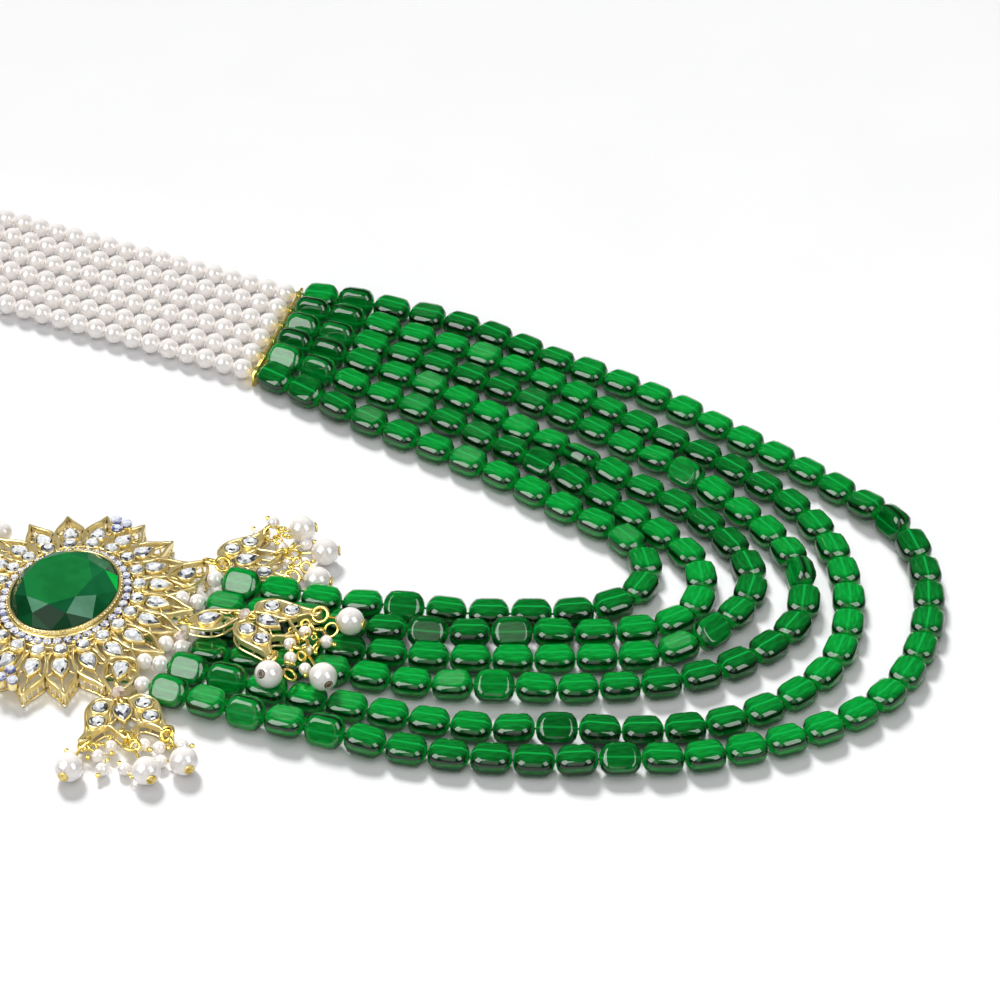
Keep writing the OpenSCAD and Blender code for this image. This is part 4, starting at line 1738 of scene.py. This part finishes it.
    def pears(self) -> Object:
        """Cuts the pear-shaped stones of petals and lobes.

        Returns:
            The stones in one piece.
        """
        petal = self.stone(self.leaf_side, 0.0)
        lobe = self.stone(self.lobe_side, self.lobe_stone)
        parts = [
            copies("pears", petal, self.stations(self.pear_oval)),
            copies("lobe_pears", lobe, self.lobe_places()),
        ]
        drop_masters(petal, lobe)
        return joined("pear_stones", parts)

    def rounds(self) -> Object:
        """Cuts the round stones inside the petals.

        Returns:
            The stones in one piece, each turned another way.
        """
        radius = self.round_radius
        stone = cut_stone("round", oval(radius, radius, 10), self.round_cut, self.plate)
        stations = self.stations(self.round_oval)
        places = [place @ turned(17.0 * k) for k, place in enumerate(stations)]
        whole = copies("round_stones", stone, places)
        drop_masters(stone)
        return whole

    def rhinestones(self) -> Object:
        """Cuts the ring of tiny stones round the bezel and the clusters between the petals.

        Returns:
            The stones in one piece.
        """
        radius, high = self.tiny_radius, self.plate + self.tiny_high
        stone = cut_stone("tiny", oval(radius, radius, 8), self.tiny_cut, 0.0)
        ring = [
            moved(p.x, p.y, high) @ turned(23.0 * i)
            for i, p in enumerate(oval(*self.tiny_oval, self.tiny))
        ]
        size, sunk = self.spot_stone
        larger = Matrix.Scale(size, 4)
        cluster = [moved(*spot, high + sunk) @ larger for spot in self.spots]
        whole = copies("rhinestones", stone, ring + cluster)
        drop_masters(stone)
        return whole

    def build(self, finishes: Finishes) -> None:
        """Builds metal and stones.

        Args:
            finishes: The materials.
        """
        metal = self.metal()
        on_table(metal, finishes.antique_gold, Slot.ANTIQUE_GOLD, ["brooch_frame"], IN_BROOCH)
        for stones, finish, replaced in (
            (self.pears(), finishes.clear_glass, ["petal_stones"]),
            (self.rounds(), finishes.clear_glass, []),
            (self.rhinestones(), finishes.rhinestone, []),
        ):
            facet_tones(stones)
            on_table(stones, finish, Slot.CLEAR_GLASS, replaced, IN_BROOCH)


@dataclass
class CentreStone:
    """The large oval stone: table, star and kite facets, girdle and back."""

    half: Point = (18.2, 14.5)
    girdle: float = 9.2
    girdle_thick: float = 0.35
    crown: float = 4.6
    table: float = 0.66
    middle_ring: float = 0.84
    turn: float = 16.0
    lean: Point = (-0.6, 1.6)
    back: float = 6.5
    back_share: float = 0.6

    def spot(self, share: float, degrees: float, z: float) -> Spot:
        """Places one corner of the stone.

        Args:
            share: How far out it is, as a share of the girdle.
            degrees: Its way round.
            z: Its height.

        Returns:
            The corner, leaned with its height as the cutter left it.
        """
        a, b = self.half
        t = math.radians(degrees + self.turn)
        lean = max(z - self.girdle, 0) / self.crown
        return (
            share * a * math.cos(t) + self.lean[0] * lean,
            share * b * math.sin(t) + self.lean[1] * lean,
            z,
        )

    def tone(self, face: MeshPolygon) -> float:
        """Picks the tone of one facet, a painted reflection: dark, green, bright or pale.

        Args:
            face: The facet.

        Returns:
            Its tone, on the scale of the finish.
        """
        way = math.degrees(math.atan2(face.center.y, face.center.x)) % 360
        # How far up the crown its middle is: the table at 1, the kites between stars and girdle
        up = (face.center.z - self.girdle) / self.crown
        if up > 0.98:
            return 0.7
        if up < 0.33:
            return 0.82 if 300 < way < 322 else 0.3 + 0.15 * math.sin(math.radians(3 * way))
        if up > 0.76:
            return 0.92 if 160 < way < 190 else 0.36 + 0.14 * math.cos(math.radians(way - 300))
        if 225 < way < 262:
            return 1.0
        if 180 < way < 220:
            return 0.04
        return 0.3 + 0.2 * math.cos(math.radians(way - 300))

    def build(self, finish: Material) -> None:
        """Cuts the stone.

        Args:
            finish: Its glass.
        """
        top = self.girdle + self.crown
        slope = (1 - self.middle_ring * math.cos(math.radians(22.5))) / (1 - self.table)
        spots = []
        for i in range(16):
            spots.append(self.spot(1.0, 22.5 * i, self.girdle - self.girdle_thick))
            spots.append(self.spot(1.0, 22.5 * i, self.girdle))
        for i in range(8):
            middle = self.girdle + self.crown * slope
            spots.append(self.spot(self.table, 45 * i, top))
            spots.append(self.spot(self.middle_ring, 45 * i + 22.5, middle))
            spots.append(self.spot(self.back_share, 45 * i, self.back))
        stone = primitive("centre_cut_stone", "circle", vertices=len(spots), fill_type="NOTHING")
        for vertex, spot in zip(stone.data.vertices, spots):
            vertex.co = spot
        with editing(stone):
            bpy.ops.mesh.select_all(action="SELECT")
            bpy.ops.mesh.convex_hull()
            bpy.ops.mesh.select_all(action="SELECT")
            bpy.ops.mesh.dissolve_limited(angle_limit=math.radians(2))
        finish_mesh(stone, lambda n: True)
        facet_tones(stone, self.tone)
        on_table(stone, finish, Slot.CENTRE_GLASS, ["centre_stone"], IN_BROOCH)


# Drops


@dataclass(frozen=True)
class Hang:
    """One large pearl on its pin: direction, reach from the loop, and rings of its own."""

    turn: float
    reach: float
    rings: int
    # How far the pearl has rolled from its pin: turned and lifted
    roll: Point = (0.0, 0.0)

    def facing(self) -> Matrix:
        """The roll of the pearl at its own middle."""
        return turned(self.roll[0]) @ turned(-self.roll[1], "Y")


@dataclass
class Drop:
    """A fan with five stones, three large pearls and a fringe of small ones."""

    name: str
    middle: Point
    way: float
    base: float
    hangs: tuple[Hang, Hang, Hang]
    # Small pearls: x, y and z of the middle, and x and y that the pin points to
    small: tuple[tuple[float, float, float, float, float], ...]
    # Loose rings: x, y, z and radius
    loose: tuple[tuple[float, float, float, float], ...]
    # Large pearls whose far end shows its drill hole, as a dark disc of painted shade
    open_ends: tuple[int, ...] = ()
    high: float = 4.4
    pearl: float = 8.0
    drill: float = 1.3
    wire: float = 0.4
    small_pearl: float = 3.8
    loops: tuple[Point, ...] = ((8.1, 10.6), (8.3, 0.0), (8.1, -10.6))
    seats: tuple[Point, ...] = ((-3.2, 6.0), (2.6, 7.4))
    side: tuple[Point, ...] = (
        (-7.2, 0.6), (-6.4, 2.2), (-7.3, 3.8), (-7.6, 5.8), (-6.3, 8.0), (-3.5, 9.8),
        (0.0, 10.3), (4.0, 10.6), (6.6, 11.2), (8.8, 12.8), (9.2, 11.0), (7.0, 9.4), (5.0, 7.0),
        (3.9, 4.4), (6.0, 2.8), (9.8, 0.3),
    )
    plate_side: tuple[Point, ...] = (
        (-6.2, 2.2), (-3.0, 3.2), (0.6, 3.5), (3.8, 4.4), (5.0, 7.0), (7.0, 9.4), (8.6, 12.0),
        (6.6, 11.0), (4.0, 10.4), (0.0, 10.1), (-3.5, 9.6), (-6.2, 7.9), (-7.4, 5.8), (-7.1, 3.8),
    )
    inner_side: tuple[Point, ...] = ((-6.2, 1.9), (-3, 3.2), (0.6, 3.5), (3.8, 4.4))
    scroll_side: tuple[Point, ...] = ((0.2, 9.6), (2.0, 10.1), (5.4, 9.9))
    rib_side: tuple[Point, ...] = ((1.4, 1.8), (3.6, 3.9))
    # The fan's wires and plates from its top, and its foot over the table
    rim: Band = Band(0.42, -1.3, 0.1)
    wall: Band = Band(0.26, -2.3, -0.7)
    foot: Band = Band(0.4, 0.0, 0.85)
    inner: Band = Band(0.36, -1.2, 0.0)
    scroll: Band = Band(0.3, -1.2, -0.2)
    rib: Band = Band(0.24, -1.0, -0.1)
    post: Band = Band(0.33, 0.35, -1.25)
    round_collet: Collet = Collet(-1.2, 0.6, rim=0.48, deep=0.5)
    pear_collet: Collet = Collet(-1.2, 0.6, rim=0.44, deep=0.5)
    cut: Cut = Cut(0.15, girdle=0.4, crown=0.6, table=0.55)
    plate: Point = (-0.9, -0.25)
    seat_radius: float = 2.75
    stone_radius: float = 2.1
    pear_at: float = -0.5
    pear_cup_size: float = 1.3
    pear_size: float = 1.08
    # Radius and wire of the fan's own loops, the first of them at its upper end
    loop_ring: Point = (1.15, 0.32)
    top_loop: Point = (-5.8, 0.0)
    # From a loop to a large pearl's eye, further by a step where a ring hangs between them, from
    # the eye to its pin, and how far the pin goes past the pearl's middle
    eye_at: float = 1.8
    ring_step: float = 2.9
    pin_at: float = 1.8
    pin_past: float = 3.4
    pin_wire: float = 0.42
    eye_ring: Point = (2.2, 0.52)
    own_ring: float = 2.0
    # Radius of a hammered disc, its middle's distance from the pearl's, and its thickness
    disc: Point = (1.5, 4.05)
    disc_thick: float = 0.6
    # A small pearl's pin: how far it goes behind and past the pearl's middle, its wire, the
    # place and radius of its ball, and the place, radius and wire of its eye
    small_pin: Spot = (3.4, 2.6, 0.2)
    ball: Point = (2.7, 0.75)
    small_eye: Spot = (4.0, 0.75, 0.22)

    def place(self) -> Matrix:
        """The drop's own frame, X down it."""
        return moved(*self.middle, self.base) @ turned(self.way)

    def pin_place(self, j: int) -> Matrix:
        """The frame of pin j at its loop, X along the pin."""
        return self.place() @ moved(*self.loops[j], self.high - 0.55) @ turned(self.hangs[j].turn)

    def pearl_place(self, j: int) -> Matrix:
        """The frame of large pearl j as it has rolled, X along its hole."""
        return self.pin_place(j) @ moved(self.hangs[j].reach, 0) @ self.hangs[j].facing()

    def fan(self) -> Object:
        """Makes the fan's metal.

        Returns:
            The fan in the drop's own frame.
        """
        outline, top = both_sides(self.side, 2), self.high
        parts = [
            strip("rim", outline, self.rim, top),
            strip("wall", outline, self.wall, top),
            strip("foot", outline, self.foot),
            *posts(outline[::3], self.post, top),
        ]
        for s in (-1, 1):
            inner = curve_through(level(self.inner_side, s))
            parts.append(strip("inner", inner, self.inner, top, closed=False))
            scroll = curve_through(level(self.scroll_side, s))
            parts.append(strip("scroll", scroll, self.scroll, top, closed=False))
            for x, y in self.seats:
                seat = oval(self.seat_radius, self.seat_radius, 14, (x, s * y))
                parts.append(cup("collet", seat, self.round_collet, top))
            rib = level(self.rib_side, s)
            parts.append(strip("rib", rib, self.rib, top, closed=False))
            # The stones of each half stand in a plate just under the rim
            edge = level(self.plate_side, s)
            low, high = (top + z for z in self.plate)
            parts.append(block("plate", edge if s > 0 else edge[::-1], low, high))
        seat = pear(self.pear_cup_size, self.pear_at, 2)
        parts.append(cup("pear_collet", seat, self.pear_collet, top))
        for x, y in (self.top_loop, *self.loops):
            parts.append(wire_ring(*self.loop_ring, moved(x, y, top - 0.5)))
        return joined(f"fan_metal_{self.name}", parts)

    def stones(self) -> Object:
        """Cuts the fan's five stones.

        Returns:
            The stones in the drop's own frame.
        """
        r = self.stone_radius
        spots = [oval(r, r, 10, (x, s * y)) for s in (-1, 1) for x, y in self.seats]
        spots.append(pear(self.pear_size, self.pear_at))
        parts = [cut_stone("stone", spot, self.cut, self.high) for spot in spots]
        whole = joined(f"fan_stones_{self.name}", parts)
        facet_tones(whole)
        return whole

    def pins(self) -> Object:
        """Makes the large pearls' eyes, their own rings and pins, and the loose rings.

        Returns:
            The wires in one piece, in the layout.
        """
        parts = []
        for j, hang in enumerate(self.hangs):
            start = self.pin_place(j)
            eye = self.eye_at + self.ring_step * hang.rings
            tilt = turned(40 - 40 * hang.rings, "X")
            parts.append(wire_ring(*self.eye_ring, start @ moved(eye, 0) @ tilt))
            if hang.rings:
                upright = start @ moved(self.eye_at, 0) @ turned(90, "X")
                parts.append(wire_ring(self.own_ring, self.wire, upright))
            neck = start @ Vector((eye + self.pin_at, 0, 0))
            end = start @ Vector((hang.reach + self.pin_past, 0, 0))
            parts.append(rod(neck, end, self.pin_wire))
        for i, (x, y, z, radius) in enumerate(self.loose):
            lean = turned(75.0 * i + 20) @ turned(35 + 20 * (i % 3), "X")
            parts.append(wire_ring(radius, self.wire, moved(x, y, z) @ lean))
        return joined(f"pearl_pins_{self.name}", parts)

    def pin_ends(self, shut: bool) -> Object | None:
        """Makes what shows at the far end of the large pearls.

        Args:
            shut: True for the hammered discs, False for the open drill holes, dark discs of
                painted shade.

        Returns:
            The discs or holes in one piece, or None where there are none.
        """
        places = [self.pearl_place(j) for j in range(3) if shut != (j in self.open_ends)]
        if not places:
            return None
        # A hole is a dark disc of painted shade, its end level with the skin of the pearl
        hole = (self.drill, (self.pearl - self.disc_thick) / 2)
        radius, stands = self.disc if shut else hole
        disc = primitive(
            "disc", "cylinder", vertices=16, radius=radius, depth=self.disc_thick,
            rotation=(0, math.pi / 2, 0), location=(stands, 0, 0),
        )
        with editing(disc):
            bevel(lambda m, w: abs(w.x) < 0.1, 0.2)
        finish_mesh(disc, lambda n: abs(n.x) > 0.99)
        whole = copies(f"{'discs' if shut else 'drill_holes'}_{self.name}", disc, places)
        drop_masters(disc)
        return whole

    def large(self) -> Object:
        """Makes the three large pearls.

        Returns:
            The pearls in one piece, in the layout.
        """
        ball = pearl_ball("large_pearl", self.pearl, 24, 16, 1.7)
        places = [self.pearl_place(j) for j in range(3)]
        whole = copies(f"large_pearls_{self.name}", ball, places)
        drop_masters(ball)
        return whole

    def fringe(self) -> tuple[Object, Object]:
        """Makes the fringe.

        Returns:
            The small pearls, and their ball pins with an eye each, in the layout.
        """
        ball = pearl_ball("small_pearl", self.small_pearl)
        behind, past, wire = self.small_pin
        tip_at, tip_radius = self.ball
        eye_at, *eye_ring = self.small_eye
        tip = smoothed(primitive("tip", "ico_sphere", subdivisions=2, radius=tip_radius))
        pearls, tips, wires = [], [], []
        for x, y, z, to_x, to_y in self.small:
            centre = Vector((x, y, z))
            way = (Vector((to_x, to_y, z)) - centre).normalized()
            pearls.append(pointed(centre, way))
            tips.append(Matrix.Translation(centre + way * tip_at))
            wires.append(rod(centre - way * behind, centre + way * past, wire))
            eye = pointed(centre - way * eye_at, way) @ turned(40, "X")
            wires.append(wire_ring(*eye_ring, eye))
        small = copies(f"small_pearls_{self.name}", ball, pearls)
        ends = copies("tips", tip, tips)
        drop_masters(ball, tip)
        return small, joined(f"ball_pins_{self.name}", [ends, *wires])

    def build(self, finishes: Finishes) -> None:
        """Builds the drop.

        Args:
            finishes: The materials.
        """
        n, here = self.name, self.place()
        metal = finishes.antique_gold
        on_table(self.fan(), metal, Slot.ANTIQUE_GOLD, [f"drop_{n}_fan"], here)
        on_table(self.stones(), finishes.clear_glass, Slot.CLEAR_GLASS, place=here)
        on_table(self.large(), finishes.pearl, Slot.DROP_PEARL, [f"drop_{n}_pearls"])
        on_table(self.pins(), finishes.bright_gold, Slot.BRIGHT_GOLD, [f"drop_{n}_ring"])
        for shut, finish in ((True, finishes.disc_gold), (False, finishes.hole)):
            ends = self.pin_ends(shut)
            if ends is not None:
                on_table(ends, finish, Slot.BRIGHT_GOLD)
        small, pins = self.fringe()
        on_table(small, finishes.pearl, Slot.DROP_PEARL)
        on_table(pins, finishes.bright_gold, Slot.BRIGHT_GOLD)


@dataclass
class LeafLink:
    """The leaf between the brooch's lowest petal and the middle drop."""

    middle: Point = (-91.4, 51.2)
    way: float = 309.0
    base: float = 6.8
    high: float = 3.2
    stone_at: float = -2.0
    side: tuple[Point, ...] = (
        (-8.0, 0.5), (-7.2, 1.7), (-5.0, 3.2), (-2.5, 4.2), (0.0, 4.2), (2.5, 3.3), (5.0, 2.1),
        (7.0, 1.5), (8.0, 0.6),
    )
    hook_side: tuple[Point, ...] = ((2.0, 2.9), (2.9, 1.9), (3.9, 1.3), (5.0, 1.6))
    # Its wires and stone from its top, and its foot over its underside
    rim: Band = Band(0.4, -0.9, 0.3)
    foot: Band = Band(0.36, 0.0, 0.75)
    hook: Band = Band(0.28, -0.8, 0.1)
    post: Band = Band(0.32, 0.3, -0.3)
    collet: Collet = Collet(-1.0, 1.0, rim=0.34, deep=0.7)
    cut: Cut = Cut(0.4, girdle=0.4, crown=0.8, table=0.62)
    pear_cup_size: float = 1.28
    pear_size: float = 1.1
    # The plate under the stone, from the top, and where it ends
    plate: Point = (-0.8, -0.1)
    plate_end: float = 1.6

    def metal(self) -> Object:
        """Makes the leaf's frame.

        Returns:
            The frame in its own place, X down it.
        """
        outline, top = both_sides(self.side, 2), self.high
        plate = [p for p in outline if p.x < self.plate_end]
        parts = [
            strip("rim", outline, self.rim, top),
            strip("foot", outline, self.foot),
            cup("collet", pear(self.pear_cup_size, self.stone_at, 2), self.collet, top),
            *posts(outline[::3], self.post, top),
            block("plate", plate, *(top + z for z in self.plate)),
        ]
        for s in (-1, 1):
            hook = curve_through(level(self.hook_side, s))
            parts.append(strip("hook", hook, self.hook, top, closed=False))
        return joined("leaf_metal", parts)

    def build(self, finishes: Finishes) -> None:
        """Builds frame and stone.

        Args:
            finishes: The materials.
        """
        here = moved(*self.middle, self.base) @ turned(self.way)
        metal = self.metal()
        on_table(metal, finishes.antique_gold, Slot.ANTIQUE_GOLD, ["leaf_link"], here)
        shape = pear(self.pear_size, self.stone_at)
        stone = cut_stone("leaf_stone", shape, self.cut, self.high)
        facet_tones(stone)
        on_table(stone, finishes.clear_glass, Slot.CLEAR_GLASS, place=here)


@dataclass
class LinkRings:
    """Rings and faceted beads between brooch, leaf and fans: each hangs between two points."""

    ring_spans: tuple[tuple[Spot, Spot], ...] = (
        ((-63.5, 67.4, 5.8), (-62.2, 62.9, 4.8)),
        ((-62.7, 63.9, 4.9), (-61.0, 60.2, 4.1)),
        ((-94.0, 60.7, 8.8), (-95.5, 56.3, 9.4)),
    )
    bead_spans: tuple[tuple[Spot, Spot], ...] = (
        ((-123.1, 67.5, 5.8), (-127.3, 64.2, 4.1)),
        ((-87.3, 46.1, 9.4), (-87.9, 41.5, 10.6)),
    )
    lone_bead: Spot = (-96.6, 59.6, 4.6)
    wire: float = 0.55
    bead: float = 2.3
    bead_flat: float = 0.86
    eye: float = 0.9

    def ring(self, middle: Vector, way: Vector, radius: float, roll: float = 90) -> Object:
        """A ring whose plane holds the way, upright at a roll of 90 degrees."""
        return wire_ring(radius, self.wire, pointed(middle, way, roll), 24)

    def build(self, finishes: Finishes) -> None:
        """Builds rings and beads.

        Args:
            finishes: The materials.
        """
        metal, places = [], []
        # Each ring is rolled across the one before, as linked rings are
        for i, (a, b) in enumerate(self.ring_spans):
            a, b = Vector(a), Vector(b)
            metal.append(self.ring((a + b) / 2, b - a, (b - a).length / 2, 90 + 60 * (-1) ** i))
        ball = primitive("faceted_bead", "uv_sphere", segments=8, ring_count=5, radius=self.bead)
        for vertex in ball.data.vertices:
            vertex.co.z *= self.bead_flat
        finish_mesh(ball, lambda n: True)
        for a, b in self.bead_spans:
            a, b = Vector(a), Vector(b)
            way = (b - a).normalized()
            places.append(pointed((a + b) / 2, way) @ turned(90, "Y"))
            metal += [self.ring(p, way, self.eye) for p in (a, b)]
        places.append(moved(*self.lone_bead))
        beads = copies("faceted_beads", ball, places)
        drop_masters(ball)
        facet_tones(beads)
        rings = joined("link_ring_wires", metal)
        on_table(rings, finishes.bright_gold, Slot.BRIGHT_GOLD, ["link_rings"])
        on_table(beads, finishes.pink_glass, Slot.CLEAR_GLASS)


DROPS = (
    Drop(
        "a", middle=(-57.4, 56.0), way=309, base=0.2,
        hangs=(Hang(-6, 10.8, 0), Hang(-12, 14.2, 1), Hang(-28, 9.3, 0)),
        small=(
            (-40.1, 55.5, 5.6, -38.4, 58.6), (-42.4, 59.4, 2.2, -40.6, 62.0),
            (-46.4, 50.2, 2.2, -45.0, 52.6), (-51.6, 45.8, 2.3, -53.4, 44.2),
            (-50.8, 41.4, 2.3, -49.0, 39.4), (-55.8, 41.6, 2.3, -54.8, 38.6),
            (-42.4, 44.4, 2.3, -40.6, 42.4),
        ),
        loose=(
            (-45.4, 51.9, 4.0, 1.5), (-44.0, 49.6, 5.0, 1.3), (-47.4, 46.7, 4.0, 1.5),
            (-53.4, 42.6, 4.5, 1.3), (-54.2, 39.4, 4.0, 1.5), (-42.6, 53.0, 4.6, 1.2),
            (-40.9, 52.6, 5.0, 1.2), (-49.4, 47.6, 4.0, 1.2),
        ),
    ),
    Drop(
        "b", middle=(-89.1, 35.8), way=258, base=6.9,
        hangs=(Hang(13, 10.8, 0), Hang(-32, 20.7, 1), Hang(-59.4, 8.8, 0, (-35.0, 35.0))),
        small=(
            (-94.6, 27.2, 10.0, -97.2, 25.6), (-87.4, 25.6, 9.2, -87.0, 22.4),
            (-88.5, 18.8, 8.6, -89.0, 15.8), (-101.4, 19.8, 8.4, -104.0, 18.5),
            (-94.0, 22.4, 8.8, -94.2, 19.4), (-98.6, 25.4, 8.6, -101.2, 24.0),
        ),
        loose=(
            (-106.2, 22.4, 9.4, 2.0), (-101.9, 24.2, 9.4, 1.4), (-92.6, 20.2, 9.4, 1.9),
            (-85.2, 18.6, 10.4, 2.1), (-85.6, 26.2, 10.6, 1.3), (-85.8, 24.0, 10.6, 1.3),
            (-86.4, 21.7, 10.6, 1.3), (-90.8, 24.2, 10.4, 1.4), (-98.4, 22.0, 10.2, 1.3),
        ),
        open_ends=(1, 2),
    ),
    Drop(
        "c", middle=(-132.3, 61.3), way=210, base=0.2,
        hangs=(Hang(16, 14.3, 0), Hang(14.6, 16.4, 1), Hang(-27.3, 12.8, 0)),
        small=(
            (-143.7, 59.8, 2.2, -146.7, 58.0), (-153.0, 58.2, 2.2, -156.0, 58.0),
            (-148.4, 61.6, 2.2, -150.0, 64.0), (-139.8, 51.6, 2.2, -141.3, 48.8),
            (-139.6, 47.2, 2.3, -138.6, 44.4), (-144.4, 44.6, 2.2, -143.3, 42.4),
            (-150.6, 52.6, 2.2, -149.0, 54.8), (-151.0, 68.2, 2.2, -149.4, 70.4),
            (-136.6, 41.6, 2.2, -135.5, 39.0),
        ),
        loose=(
            (-147.3, 63.4, 4.0, 1.5), (-148.0, 66.0, 3.2, 1.4), (-140.2, 55.8, 4.2, 1.5),
            (-143.2, 52.6, 4.0, 1.4), (-135.9, 46.6, 4.0, 1.5), (-137.2, 44.3, 3.5, 1.4),
            (-144.9, 62.2, 3.4, 1.2), (-138.3, 59.2, 3.6, 1.1),
        ),
    ),
)


def dress_cad(finishes: Finishes) -> None:
    """Gives the solids that stay in view their finishes.

    Args:
        finishes: The materials.
    """
    plan = {n: finishes.bright_gold for n in ("far_end_bar", "near_end_bar", "clasp")}
    plan |= {f"thread_{k}": finishes.thread for k in STRINGS}
    for name, material in plan.items():
        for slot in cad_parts[name].material_slots:
            slot.material = material


def main() -> None:
    """Builds the scene in order."""
    logging.basicConfig(level=logging.INFO, format="%(name)s: %(message)s")
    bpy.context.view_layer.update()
    finishes = Finishes()
    studio = Studio()
    studio.camera()
    studio.lights()
    studio.air()
    studio.floor(finishes.paper)
    strings = GreenStrings()
    strings.build(finishes.green_glass)
    Spacer().build(finishes.bright_gold)
    PearlArms().build(finishes.pearl)
    JoiningPearls().build(strings, finishes.pearl)
    Brooch().build(finishes)
    CentreStone().build(finishes.centre_glass)
    LeafLink().build(finishes)
    LinkRings().build(finishes)
    for drop in DROPS:
        drop.build(finishes)
    dress_cad(finishes)


if __name__ == "__main__":
    main()
